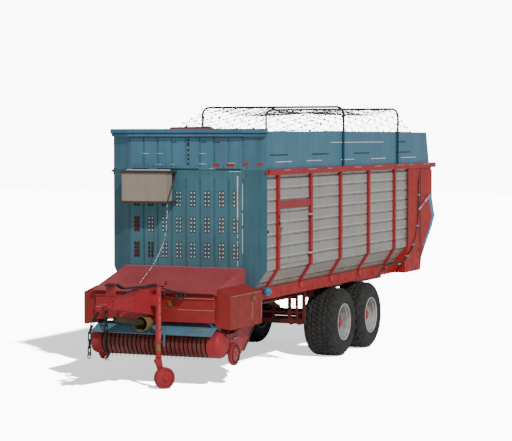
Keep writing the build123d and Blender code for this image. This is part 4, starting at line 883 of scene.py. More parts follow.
@dataclass
class Studio:
    """Camera at the photograph's angle, white surroundings, pale floor and soft sunlight."""

    eye: Point = (11.2932, -26.9140, 3.4692)
    azimuth_deg: float = 22.855
    pitch_deg: float = 2.595
    lens_mm: float = 130.74
    sensor_mm: float = 36.0
    floor_half: float = 80.0
    sun_from: Point = (3.4, -3.0, 3.54)
    sun_strength: float = 2.1
    sun_softness_deg: float = 2.0
    sky_strength: float = 0.36
    white: float = 10.0
    floor_sun: float = 62.0
    floor_glow: float = 0.95
    floor_bounced: Colour = (0.06, 0.06, 0.06)
    floor_seen: Colour = (0.8, 0.8, 0.8)

    def build(self) -> None:
        """Sets up camera, floor, lights and surroundings."""
        self.camera()
        floor = self.floor()
        self.sun("soft_sun", self.sun_strength)
        self.sun("floor_sun", self.floor_sun, lit=floor)
        self.surroundings()

    def camera(self) -> None:
        """Creates the camera and makes it the scene's."""
        data = bpy.data.cameras.new("photo_camera")
        data.sensor_width = self.sensor_mm
        data.sensor_fit = "HORIZONTAL"
        data.lens = self.lens_mm
        data.clip_end = 500.0
        camera = bpy.data.objects.new("photo_camera", data)
        camera.location = self.eye
        camera.rotation_euler = (math.radians(90 - self.pitch_deg), 0.0, math.radians(self.azimuth_deg))
        bpy.context.scene.collection.objects.link(camera)
        bpy.context.scene.camera = camera

    def floor(self) -> bpy.types.Object:
        """A wide plain floor at the tyres' feet, bright to the camera and calm in its bounced light.

        Returns:
            The floor.
        """
        mesh = bpy.data.meshes.new("studio_floor")
        half = self.floor_half
        corners = [(-half, -half, 0), (half, -half, 0), (half, half, 0), (-half, half, 0)]
        mesh.from_pydata(corners, [], [(0, 1, 2, 3)])
        floor = bpy.data.objects.new("studio_floor", mesh)
        bpy.context.scene.collection.objects.link(floor)
        material = bpy.data.materials.new("pale floor")
        material.use_nodes = True
        tree = material.node_tree
        shader = tree.nodes["Principled BSDF"]
        seen = add_node(tree, "ShaderNodeLightPath").outputs["Is Camera Ray"]
        feed_all(tree, shader, {
            "Base Color": mixed(tree, seen, self.floor_bounced, self.floor_seen),
            "Roughness": 1.0,
            "Specular IOR Level": 0.0,
            "Emission Color": (1.0, 1.0, 1.0),
            "Emission Strength": math_node(tree, "MULTIPLY", seen, self.floor_glow),
        })
        mesh.materials.append(material)
        return floor

    def sun(self, name: str, strength: float, lit: bpy.types.Object | None = None) -> None:
        """Adds sunlight from the photograph's side.

        Args:
            name: the light's name.
            strength: its strength.
            lit: the only object that it lights, None for all.
        """
        data = bpy.data.lights.new(name, "SUN")
        data.energy = strength
        data.angle = math.radians(self.sun_softness_deg)
        sun = bpy.data.objects.new(name, data)
        sun.rotation_euler = Vector(self.sun_from).to_track_quat("Z", "Y").to_euler()
        bpy.context.scene.collection.objects.link(sun)
        if lit is not None:
            receivers = bpy.data.collections.new(f"{name}_receivers")
            receivers.objects.link(lit)
            sun.light_linking.receiver_collection = receivers

    def surroundings(self) -> None:
        """An even sky that lights the wagon and looks white to the camera."""
        world = bpy.data.worlds.new("pale_sky")
        world.use_nodes = True
        tree = world.node_tree
        light = tree.nodes["Background"]
        seen = add_node(tree, "ShaderNodeLightPath").outputs["Is Camera Ray"]
        strength = feed_all(tree, add_node(tree, "ShaderNodeMapRange"),
                            {"To Min": self.sky_strength, "To Max": self.white, "Value": seen})
        feed_all(tree, light, {"Color": (1.0, 1.0, 1.0), "Strength": strength.outputs[0]})
        bpy.context.scene.world = world


@dataclass
class Fittings:
    """What every group of pieces shares: the finishes that dress it."""

    paints: Paintshop


@dataclass
class Rope(Fittings):
    """Thin rope that hangs from the control box to the eye on the hood."""

    radius: float = 0.004
    length: float = 1.453
    # Route of the rope, Y from the front wall's outer corners
    route: tuple[Point, ...] = (
        (-0.148, -0.418, 2.5097), (-0.147, -0.418, 2.420), (-0.147, -0.420, 2.320), (-0.148, -0.426, 2.212),
        (-0.152, -0.448, 2.108), (-0.158, -0.490, 2.006), (-0.166, -0.545, 1.910), (-0.175, -0.612, 1.820),
        (-0.186, -0.688, 1.736), (-0.197, -0.772, 1.660), (-0.207, -0.862, 1.592), (-0.218, -0.954, 1.532),
        (-0.229, -1.042, 1.472), (-0.236, -1.098, 1.434), (-0.240, -1.124, 1.412), (-0.240, -1.124, 1.3843),
    )

    def build(self) -> None:
        curve = bpy.data.curves.new("control_rope", "CURVE")
        curve.dimensions = "3D"
        curve.bevel_depth = self.radius
        curve.bevel_resolution = 3
        curve.resolution_u = 8
        spline = curve.splines.new("NURBS")
        spline.points.add(len(self.route) - 1)
        for point, (x, y, z) in zip(spline.points, self.route):
            point.co = (x, y + DRAWN_Y, z, 1.0)
        spline.order_u = 3
        spline.use_endpoint_u = True
        curve.materials.append(self.paints["rope_cord"])
        rope = bpy.data.objects.new("control_rope", curve)
        bpy.context.scene.collection.objects.link(rope)
        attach(rope, "wagon")
        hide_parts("rope")
        x, y, z = self.route[0]


@dataclass
class LoadNet(Fittings):
    """Knotted net that lies over the hoops, from ahead of the first to behind the last."""

    pitch: float = 0.155
    strand: float = 0.0042
    knot: float = 0.011
    half: float = 1.13
    drop: float = 0.02
    ends: Span = (1.9, 6.75)
    hoops: Span = (3.15, 5.825)
    sag: float = 0.3
    crown_z: float = 3.925
    edge_z: float = 3.56
    # Shares of the half width where the net starts to fall, and where it meets the panels
    flat_share: float = 0.78
    side_share: float = 0.80

    def build(self) -> None:
        """Builds the net's two sets of slanted strands, its knots and its edge lines."""
        rows = round((self.ends[1] - self.ends[0]) / self.pitch)
        columns = 2 * round(self.half / self.pitch) + 6
        maker = MeshMaker()
        grid = [
            [self.point(row / rows, column / columns) for column in range(columns + 1)]
            for row in range(rows + 1)
        ]
        for row in range(rows):
            for column in range(columns):
                if (row + column) % 2 == 0:
                    maker.tube([grid[row][column], grid[row + 1][column + 1]], self.strand, 4)
                else:
                    maker.tube([grid[row][column + 1], grid[row + 1][column]], self.strand * 0.7, 3)
        for row in range(rows + 1):
            for column in range(columns + 1):
                if (row + column) % 2 == 0:
                    knot = Vector(grid[row][column])
                    half = Vector((self.knot, self.knot, self.knot))
                    maker.block(knot - half, knot + half)
        for line in (grid[0], grid[-1], [row[0] for row in grid], [row[-1] for row in grid]):
            maker.tube(line, self.strand * 1.5, 5)
        maker.finish("load_net", self.paints["net_cord"], "wagon", "rope_cord")

    def crown(self, y: float) -> float:
        """Height of the net's middle at a place along the wagon.

        Args:
            y: the place, from the front wall's outer corners.

        Returns:
            The height.
        """
        first, last = self.hoops
        if y < first:
            share = (y - self.ends[0]) / (first - self.ends[0])
            return self.edge_z + (self.crown_z - self.edge_z) * share ** 0.8
        if y > last:
            share = (self.ends[1] - y) / (self.ends[1] - last)
            return self.edge_z + (self.crown_z - self.edge_z) * share ** 0.8
        share = (y - first) / (last - first)
        return self.crown_z - self.sag * share * (1 - share)

    def point(self, along: float, across: float) -> Point:
        """A crossing of the net.

        Args:
            along: 0 at the front, 1 at the rear.
            across: 0 at the right edge, 1 at the left edge.

        Returns:
            Its place.
        """
        y = self.ends[0] + (self.ends[1] - self.ends[0]) * along
        rise = max(self.crown(y) - self.edge_z, 0.0)
        profile = 2 * across - 1
        shoulder = 1 - max(0.0, abs(profile) - self.flat_share) / (1 - self.flat_share)
        x = self.half * max(-1.0, min(1.0, profile / self.side_share))
        wander = 0.02 * math.sin(17 * along + 9 * across) * shoulder
        height = rise * max(0.0, math.sin(shoulder * math.pi / 2)) ** 0.9
        return (x, y, self.edge_z - self.drop + height + wander)


@dataclass
class Tyres(Fittings):
    """Four wide tyres with a block tread, in place of the plain ones."""

    steps: int = 264
    lugs: int = 22
    tread_depth: float = 0.017
    drawn_radius: float = 0.54
    tread_edge: float = 0.455
    fade_width: float = 0.055
    row_width: float = 0.105
    # Grooves that run round the tyre: distances from its middle, in shares of the width
    round_grooves: tuple[Span, ...] = ((0.06, 0.10), (0.20, 0.235))
    # Section from the inner bead over the tread to the outer bead: share of the width, radius
    section: tuple[Span, ...] = (
        (0.055, 0.292), (0.03, 0.325), (0.004, 0.372), (0.0, 0.41), (0.016, 0.447), (0.05, 0.483),
        (0.085, 0.505), (0.12, 0.520), (0.16, 0.530), (0.20, 0.535), (0.24, 0.537), (0.28, 0.5385),
        (0.32, 0.5392), (0.36, 0.5396), (0.40, 0.5398), (0.44, 0.54), (0.47, 0.54), (0.50, 0.54),
        (0.53, 0.54), (0.56, 0.54), (0.60, 0.5398), (0.64, 0.5396), (0.68, 0.5392), (0.72, 0.5385),
        (0.76, 0.537), (0.80, 0.535), (0.84, 0.530), (0.88, 0.520), (0.915, 0.505), (0.95, 0.483),
        (0.984, 0.447), (1.0, 0.41), (0.996, 0.372), (0.97, 0.325), (0.945, 0.292),
    )

    def build(self) -> None:
        """Turns the section round each axle and sinks the grooves between the blocks."""
        for side, name in road_wheels():
            low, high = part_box(f"tyre_{name}")
            middle_y = (low[1] + high[1]) / 2
            radius = (high[1] - low[1]) / 2
            maker = MeshMaker(0.0)
            for step in range(self.steps):
                turn = 2 * math.pi * step / self.steps
                for share, drawn in self.section:
                    depth = self.groove(share, step / self.steps) * self.tread_depth
                    reach = (drawn - depth) * radius / self.drawn_radius
                    x = low[0] + (high[0] - low[0]) * (share if side is Side.LEFT else 1 - share)
                    y, z = middle_y + reach * math.cos(turn), radius + reach * math.sin(turn)
                    maker.points.append((x, y, z))
            maker.wrap(self.steps, len(self.section), flipped=side is Side.RIGHT)
            rubber = self.paints["tyre_rubber"]
            tyre = maker.finish(f"tyre_tread_{name}", rubber, f"wheel_{name}", "tyre_rubber")
            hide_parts(f"tyre_{name}")

    def groove(self, share: float, turn: float) -> float:
        """How deep the tread is cut at a place.

        Args:
            share: share of the tyre's width, 0 at its inner side.
            turn: share of a full turn.

        Returns:
            0 on a block, 1 at the bottom of a groove.
        """
        off = abs(share - 0.5)
        if off > self.tread_edge:
            return 0.0
        row = int(off / self.row_width)
        inner = row < 2
        lean = off * 1.6 + (0.5 if share > 0.5 else 0.0) + 0.37 * row
        phase = (turn * self.lugs * (2 if inner else 1) + lean) % 1.0
        across = 1.0 if phase < (0.30 if inner else 0.34) else 0.0
        between = 0.8 if any(low < off < high for low, high in self.round_grooves) else 0.0
        fade = min(1.0, max(0.0, (self.tread_edge - off) / self.fade_width))
        return max(across, between) * fade


@dataclass
class Wheels(Fittings):
    """Nuts, hub caps, shaded dishes and rolled edges of the four road wheels' rims."""

    disc_in: float = 0.191
    nut_count: int = 10
    nut_circle: float = 0.1125
    nut_radius: float = 0.014
    nut_height: float = 0.03
    nut_sunk: float = 0.004
    # Start and end from the disc, radius and sides of the hub cap's two drums
    drums: tuple[tuple[float, float, float, int], ...] = ((0.0, 0.070, 0.079, 24), (0.06, 0.128, 0.064, 20))
    # Depth from the disc and radius across the dish
    dish: tuple[Span, ...] = ((0.004, 0.096), (0.010, 0.150), (0.020, 0.200), (0.042, 0.232))
    # Distance in from the rim's outer side, radius and thickness of the rolled edges
    edges: tuple[Point, ...] = ((0.006, 0.283, 0.009), (0.055, 0.262, 0.006))
    steps: int = 48

    def build(self) -> None:
        """Adds nuts to each rim's disc, a cap to each hub, and the dish and rolled edges of the rim."""
        for side, name in road_wheels():
            body = f"wheel_{name}"
            low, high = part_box(f"rim_{name}")
            y, z = [(a + b) / 2 for a, b in zip(low, high)][1:]
            outer = high[0] if side is Side.LEFT else low[0]
            disc = outer - side.value * self.disc_in
            nuts = MeshMaker(0.0)
            for place in ring((disc - side.value * self.nut_sunk, y, z), self.nut_circle, self.nut_count):
                nuts.bolt(place, side.outward, self.nut_radius, self.nut_height)
            nuts.finish(f"wheel_nuts_{name}", self.paints["zinc_steel"], body, "zinc_steel")
            cap = MeshMaker(0.0)
            for start, end, radius, sides in self.drums:
                cap.tube([(disc + side.value * start, y, z), (disc + side.value * end, y, z)], radius, sides)
            cap.finish(f"hub_cap_{name}", self.paints["red_paint"], body, "red_paint", bevel=0.004)
            dish = MeshMaker(0.0)
            circles = [
                ring((disc + side.value * depth, y, z), reach, self.steps) for depth, reach in self.dish
            ]
            dish.points = [point for spoke in zip(*circles) for point in spoke]
            dish.wrap(self.steps, len(self.dish), flipped=True)
            dish.finish(f"rim_dish_{name}", self.paints["dish_shade"], body, "rim_grey", smooth=True)
            rolled = MeshMaker(0.0)
            for inset, reach, thick in self.edges:
                path = ring((outer - side.value * inset, y, z), reach, self.steps)
                rolled.tube(path, thick, 6, closed=True)
            rolled.finish(f"rim_rings_{name}", self.paints["rim_light"], body, "rim_grey", smooth=True)


@dataclass
class FrontWall(Fittings):
    """Lip, slots, painted highlights on folds and edges, painted shade under the lip and at the slots, bolts
    and small marks of the front wall and the upper part above it.
    """

    face_y: float = -0.105
    proud: float = 0.004
    seam_z: float = 2.993
    # X, half width, low and high Z of the painted highlight lines on the folds
    folds: tuple[tuple[float, float, float, float], ...] = (
        (0.811, 0.009, 2.29, 2.906), (0.812, 0.005, 2.12, 2.25), (0.812, 0.005, 2.02, 2.08),
        (0.812, 0.005, 1.90, 1.98), (0.812, 0.005, 1.78, 1.83), (0.812, 0.005, 1.62, 1.70),
        (0.888, 0.005, 2.42, 2.80), (0.888, 0.005, 2.20, 2.38), (0.888, 0.005, 1.80, 2.16),
    )
    # X span and height of the painted edge highlights, the red marks below them and the dark seams
    light: tuple[Point, ...] = (
        (-0.683, -0.587, 3.218), (-0.458, -0.362, 3.219), (0.209, 0.318, 3.221), (-0.474, -0.378, 3.060),
        (-0.235, -0.175, 3.062), (0.209, 0.318, 3.074), (0.662, 0.770, 3.086), (0.37, 0.43, 3.010),
        (0.68, 0.86, 2.968),
    )
    red: tuple[Point, ...] = ((0.436, 0.529, 3.062), (0.640, 0.76, 3.062))
    seams: tuple[Point, ...] = ((0.475, 0.86, 3.001), (-0.85, -0.60, 3.001), (-0.45, 0.2, 3.001))
    # The slanted corner: where it starts, its slope, and X of the red marks on it
    corner_x: float = 0.896
    corner_slope: float = 0.331
    corner_marks: Span = (0.935, 1.13)
    # X and Z spans of the red in painted shade seen behind the lowest slots
    behind: tuple[tuple[Span, Span], ...] = (((-0.80, -0.765), (2.10, 2.30)), ((-0.79, -0.765), (1.73, 1.93)))
    holes: tuple[float, ...] = (3.471, 3.414, 3.371, 3.342, 3.271, 3.199, 3.142, 3.076)
    hole_x: float = 0.043
    notches: tuple[float, ...] = (-0.17, 0.287, 0.505)
    grooves: int = 9
    groove_pitch: float = 0.2235
    # Height of the middle of each row of slots, and the first column with painted daylight behind it
    slot_rows: tuple[tuple[float, int], ...] = ((2.572, 3), (2.200, 1), (1.830, 2))
    slot_pitch: float = 0.058
    slot_offset: float = 0.026
    # Corners of the upper edge from right to left, and the lip's low side, depth and height
    edge: tuple[Span, ...] = ((-1.235, 0.0), (-0.905, -0.105), (0.905, -0.105), (1.235, 0.0))
    lip_z: float = 3.515
    lip_out: float = 0.070
    lip_height: float = 0.062
    gap_height: float = 0.012

    def build(self) -> None:
        """Adds the lip, the slots, the painted highlight lines and the dark lines, the red marks and the
        bolts.
        """
        self.cap()
        self.slot_cores()
        y = (self.face_y - self.proud, self.face_y + self.proud)
        light, red, deep, dark, bolts = (MeshMaker() for _ in range(5))
        light.blocks(((x - half, x + half), y, (low, high)) for x, half, low, high in self.folds)
        light.blocks(((first, last), y, (z - 0.004, z + 0.004)) for first, last, z in self.light)
        light.finish("front_light_edges", self.paints["light_edge"], "wagon", None)
        red.blocks(((first, last), y, (z - 0.02, z + 0.016)) for first, last, z in self.red)
        turn = Matrix.Rotation(math.atan(self.corner_slope), 3, "Z")
        for x in self.corner_marks:
            mark_y = self.face_y + (x - self.corner_x) * self.corner_slope - 0.002
            red.turned_block((x, mark_y, 3.074), (0.07, 0.008, 0.04), turn)
        deep.blocks((x_span, (self.face_y - 0.003, self.face_y), z_span) for x_span, z_span in self.behind)
        red.finish("front_red_marks", self.paints["red_paint"], "wagon", "red_paint")
        deep.finish("red_behind_slots", self.paints["under_red"], "wagon", "red_paint")
        hole_x = (self.hole_x - 0.014, self.hole_x + 0.014)
        dark.blocks((hole_x, y, (z - 0.016, z + 0.016)) for z in self.holes)
        dark.blocks(((x - 0.035, x + 0.035), y, (3.380, 3.390)) for x in self.notches)
        dark.blocks(((first, last), y, (z - 0.007, z + 0.007)) for first, last, z in self.seams)
        dark.finish("front_holes", self.paints["dark_gap"], "wagon", None)
        start = -(self.grooves - 1) / 2 * self.groove_pitch
        for number in range(self.grooves):
            for shift in (-0.075, 0.075):
                x = start + number * self.groove_pitch + shift
                for z in (self.seam_z - 0.045, self.seam_z + 0.05):
                    bolts.bolt((x, self.face_y, z), FORWARD, 0.010, 0.008)
        bolts.finish("front_seam_bolts", self.paints["blue_paint"], "wagon", "blue_paint")

    def cap(self) -> None:
        """Folded lip along the upper edge, with painted shadow below it: a dark plate in the gap under the
        lip and a dark strip on the wall beneath.
        """
        lip, gap, shade = MeshMaker(), MeshMaker(), MeshMaker()
        low = self.lip_z - self.gap_height
        for (x0, y0), (x1, y1) in zip(self.edge, self.edge[1:]):
            out = self.lip_out + 0.0015
            gap.plate([(x0, y0 - out, low), (x1, y1 - out, low), (x1, y1, low), (x0, y0, low)],
                      (0.0, 0.0, self.gap_height))
            lip.plate([(x0, y0 - self.lip_out, self.lip_z), (x1, y1 - self.lip_out, self.lip_z),
                       (x1, y1 + 0.01, self.lip_z), (x0, y0 + 0.01, self.lip_z)], (0.0, 0.0, self.lip_height))
        lip.finish("front_top_lip", self.paints["blue_paint"], "wagon", "blue_paint", bevel=0.006)
        gap.finish("front_lip_shadow_gap", self.paints["dark_gap"], "wagon", None)
        # Painted shadow of the lip on the wall
        shade.block((-0.90, self.face_y - 0.002, 3.452), (0.90, self.face_y + 0.004, 3.466))
        shade.finish("front_lip_gap", self.paints["dark_gap"], "wagon", None)

    def slot_cores(self) -> None:
        """Painted shade as a dark rim round each slot, and painted daylight seen through the ones towards the
        left side.
        """
        cores, rims = MeshMaker(), MeshMaker()
        for column in range(self.grooves - 1):
            groove_x = (column - (self.grooves - 2) / 2) * self.groove_pitch
            for middle, first_column in self.slot_rows:
                for offset in (-self.slot_offset, self.slot_offset):
                    for step in (-1.5, -0.5, 0.5, 1.5):
                        place = (groove_x + offset, self.face_y, middle + step * self.slot_pitch)
                        self.slot(rims, place, 0.019, 0.025, (-0.001, 0.003))
                        if column >= first_column:
                            self.slot(cores, place, 0.009, 0.013, (-0.002, 0.0))
        rims.finish("slot_rims", self.paints["dark_gap"], "wagon", None)
        cores.finish("slot_cores", self.paints["daylight"], "wagon", None)

    def slot(self, maker: MeshMaker, place: Point, half_x: float, half_z: float, depth: Span) -> None:
        """Adds one small upright plate on the wall.

        Args:
            maker: collects it.
            place: its middle, on the wall's face.
            half_x: half its width.
            half_z: half its height.
            depth: Y span from the wall's face.
        """
        x, y, z = place
        maker.block((x - half_x, y + depth[0], z - half_z), (x + half_x, y + depth[1], z + half_z))


@dataclass
class UpperSides(Fittings):
    """Slots, painted highlights on the rolled lines, and rivets of the blue side panels and the rail below
    them, with painted highlights along the rail.
    """

    face_x: float = 1.195
    rail_x: float = 1.233
    # Y span and height
    dark: tuple[Point, ...] = (
        (0.16, 0.85, 3.199), (1.82, 2.545, 3.199), (3.68, 4.42, 3.198), (5.78, 6.54, 3.197),
        (5.83, 6.32, 3.374),
    )
    # Painted highlights along the panels' rolled lines
    light: tuple[Point, ...] = (
        (0.39, 1.00, 3.100), (1.61, 2.24, 3.103), (3.08, 3.70, 3.102), (4.50, 5.23, 3.102),
        (6.05, 6.88, 3.103), (2.63, 5.12, 3.374),
    )
    # Y spans of painted highlights along the rail's upper part
    rail_highlights: tuple[Span, ...] = (
        (0.62, 0.86), (1.60, 1.95), (2.40, 2.62), (3.60, 3.95), (4.60, 4.95), (5.78, 6.1), (6.40, 6.60),
        (7.20, 7.60),
    )
    rivet_count: int = 31
    rivet_from: float = 0.14
    rivet_pitch: float = 0.25

    def build(self) -> None:
        """Adds the same rows to both sides."""
        dark, light, worn, rivets = (MeshMaker() for _ in range(4))
        for side in Side:
            for maker, rows, half in ((dark, self.dark, 0.008), (light, self.light, 0.007)):
                for first, last, z in rows:
                    self.strip(maker, side, self.face_x, (first, last), (z - half, z + half))
            for first, last in self.rail_highlights:
                self.strip(worn, side, self.rail_x, (first, last), (2.974, 2.984))
            for number in range(self.rivet_count):
                y = self.rivet_from + number * self.rivet_pitch
                rivets.bolt((side.value * self.rail_x, y, 2.94), side.outward, 0.009, 0.006)
            for y in (-0.02, 0.04):
                rivets.bolt((side.value * (self.rail_x - 0.02), y, 2.965), side.outward, 0.02, 0.02)
        dark.finish("panel_slots", self.paints["dark_gap"], "wagon", None)
        light.finish("panel_light_lines", self.paints["light_edge"], "wagon", None)
        worn.finish("rail_worn_edges", self.paints["light_rust"], "wagon", None)
        rivets.finish("rail_rivets", self.paints["red_paint"], "wagon", "red_paint")

    def strip(self, maker: MeshMaker, side: Side, x: float, y: Span, z: Span) -> None:
        """Adds a thin strip that stands 3 mm proud of a side surface.

        Args:
            maker: collects it.
            side: the wagon's side.
            x: distance of the surface from the wagon's middle.
            y: span along the wagon.
            z: span in height.
        """
        maker.blocks([(side.span(x - 0.003, x + 0.003), y, z)])


@dataclass
class ControlBox(Fittings):
    """Painted highlight on the sunlit upper edge of the dull box on the front wall."""

    low: Point = (-0.85, -0.30, 2.976)
    high: Point = (-0.165, -0.27, 2.994)

    def build(self) -> None:
        """Adds the pale strip above the box's lid, as a painted highlight."""
        strip = MeshMaker()
        strip.block(self.low, self.high)
        strip.finish("box_lid_strip", self.paints["daylight"], "wagon", "box_sheet", bevel=0.003)


@dataclass
class SideWalls(Fittings):
    """Bolts and feet of the posts, bolts along the lower beam, and the door's latch and pull."""

    half: float = 1.213
    wall: float = 1.173
    beam: float = 1.03
    post_ys: tuple[float, ...] = (0.486, 1.786, 3.075, 4.398, 5.713)
    bolt_zs: tuple[float, ...] = (2.86, 2.60, 2.30, 2.00, 1.70)
    beam_ys: tuple[float, ...] = (1.0, 2.5, 3.8, 5.1, 6.1)

    def build(self) -> None:
        """Adds bolts and feet to both sides; latch and pull are on the left with the door."""
        bolts, latch, plates, pull = (MeshMaker() for _ in range(4))
        for side in Side:
            for y in self.post_ys:
                for z in self.bolt_zs:
                    bolts.bolt((side.value * self.half, y, z), side.outward, 0.011, 0.008)
                x = side.span(self.beam, self.beam + 0.022)
                plates.blocks([(x, (y - 0.06, y + 0.06), (1.19, 1.275))])
            for y in self.beam_ys:
                bolts.bolt((side.value * self.beam, y, 1.17), side.outward, 0.016, 0.012)
        bolts.finish("post_bolts", self.paints["red_paint"], "wagon", "red_paint")
        plates.finish("post_feet", self.paints["red_paint"], "wagon", "red_paint", bevel=0.003)
        latch.blocks([
            ((self.wall, self.wall + 0.016), (0.115, 0.150), (2.09, 2.125)),
            ((self.half, self.half + 0.012), (0.470, 0.500), (2.19, 2.235)),
            ((self.half, self.half + 0.012), (0.475, 0.495), (2.30, 2.33)),
        ])
        latch.finish("door_latch_marks", self.paints["dark_gap"], "wagon", None)
        pull.blocks([((self.wall, self.wall + 0.02), (0.60, 0.66), (2.10, 2.15))])
        pull.finish("door_pull", self.paints["guard_plastic"], "side_door", "guard_plastic", bevel=0.004)


@dataclass
class RearCorners(Fittings):
    """Slots, bolts, hoses, gas strut, edges and seams of the rear corners and the tailgate."""

    half: float = 1.213
    edge_y: float = 6.335
    edge_marks: tuple[float, ...] = (2.82, 2.70, 2.578, 2.44, 2.336, 2.197, 2.093, 1.92, 1.80, 1.712)
    gate_marks: tuple[Span, ...] = ((2.62, 2.86), (2.44, 2.50), (1.98, 2.36), (1.60, 1.90), (1.42, 1.52))
    bolt_zs: tuple[float, ...] = (1.30, 1.45, 1.62, 1.90, 2.2, 2.5, 2.8)
    # Hose that comes down the corner and runs forward above the beam
    hose: tuple[Point, ...] = (
        (1.225, 6.96, 2.74), (1.225, 6.955, 2.44), (1.226, 6.93, 2.15), (1.226, 6.88, 1.90),
        (1.224, 6.80, 1.72), (1.225, 6.65, 1.58), (1.226, 6.53, 1.49), (1.226, 6.32, 1.40),
        (1.226, 6.16, 1.31), (1.20, 5.95, 1.285), (1.16, 5.70, 1.30), (1.12, 5.45, 1.27),
        (1.10, 5.25, 1.20), (1.09, 5.12, 1.12),
    )
    strut: tuple[Point, Point] = ((1.232, 6.98, 2.19), (1.232, 7.56, 2.41))
    rod_share: float = 0.55
    # Y and Z along the edge of the tailgate's back
    back: tuple[Span, ...] = ((7.766, 2.44), (7.766, 2.37), (7.928, 2.04), (7.765, 1.852), (7.40, 1.548))
    edge_width: float = 0.17

    def build(self) -> None:
        """Adds slots, bolts and edges to both corners; hoses and strut are on the left."""
        marks, bolts = MeshMaker(), MeshMaker()
        for side in Side:
            x = side.span(self.half, self.half + 0.005)
            edge = (self.edge_y - 0.03, self.edge_y + 0.035)
            marks.blocks((x, edge, (z - 0.022, z + 0.022)) for z in self.edge_marks)
            for z in self.bolt_zs:
                bolts.bolt((side.value * self.half, 6.62, z), side.outward, 0.014, 0.01)
                bolts.bolt((side.value * self.half, 6.99, z + 0.05), side.outward, 0.012, 0.01)
            marks.blocks((x, (7.006, 7.030), span) for span in self.gate_marks)
        marks.finish("corner_edge_slots", self.paints["dark_gap"], "wagon", None)
        bolts.finish("corner_bolts", self.paints["red_paint"], "wagon", "red_paint")
        self.gate_edges()
        self.hoses()
        self.gas_strut()

    def hoses(self) -> None:
        """Two hoses side by side, and the clips that hold them."""
        hose, clips = MeshMaker(), MeshMaker()
        hose.tube(self.hose, 0.008, 8)
        hose.tube([(x, y + 0.05 + 0.02 * math.sin(9 * y), z + 0.02) for x, y, z in self.hose[5:]], 0.011, 8)
        hose.finish("rear_hoses", self.paints["hose_rubber"], "wagon", "hose_rubber", smooth=True)
        for x, y, z in self.hose[1:10:2]:
            clips.block((min(x, 1.226) - 0.03, y - 0.03, z - 0.012), (x + 0.014, y + 0.045, z + 0.012))
        clips.finish("hose_clips", self.paints["zinc_steel"], "wagon", "zinc_steel")

    def gas_strut(self) -> None:
        """Thin rod, thick cylinder and the pin at each end."""
        strut = MeshMaker()
        start, end = self.strut
        middle = tuple(Vector(start).lerp(Vector(end), self.rod_share))
        strut.tube([start, middle], 0.013, 10)
        strut.tube([middle, end], 0.022, 12)
        for (_, y, z), radius in ((start, 0.022), (end, 0.024)):
            strut.tube([(self.half, y, z), (self.half + 0.03, y, z)], radius, 10)
        strut.finish("tailgate_strut", self.paints["zinc_steel"], "tailgate", "zinc_steel", smooth=True)

    def gate_edges(self) -> None:
        """Blue folded edge of the tailgate's back, the strip that closes its top and the seam before it."""
        edge, strip, seam = MeshMaker(), MeshMaker(), MeshMaker()
        for side in Side:
            x = side.value * (self.half + 0.0005)
            for (y0, z0), (y1, z1) in zip(self.back, self.back[1:]):
                inner, outer = (x, y0 - self.edge_width, z0 - 0.03), (x, y1 - self.edge_width, z1 - 0.03)
                edge.plate([inner, (x, y0, z0), (x, y1, z1), outer], (side.value * 0.003, 0.0, 0.0))
            strip.blocks([(side.span(self.half - 0.02, self.half), (7.105, 7.715), (2.890, 2.917))])
            seam.blocks([(side.span(self.half, self.half + 0.003), (7.092, 7.108), (1.16, 2.88))])
        edge.finish("tailgate_blue_edge", self.paints["edge_blue"], "tailgate", "blue_paint")
        strip.finish("tailgate_top_strip", self.paints["gate_red"], "tailgate", "red_paint")
        seam.finish("tailgate_seam", self.paints["dark_gap"], "wagon", None)


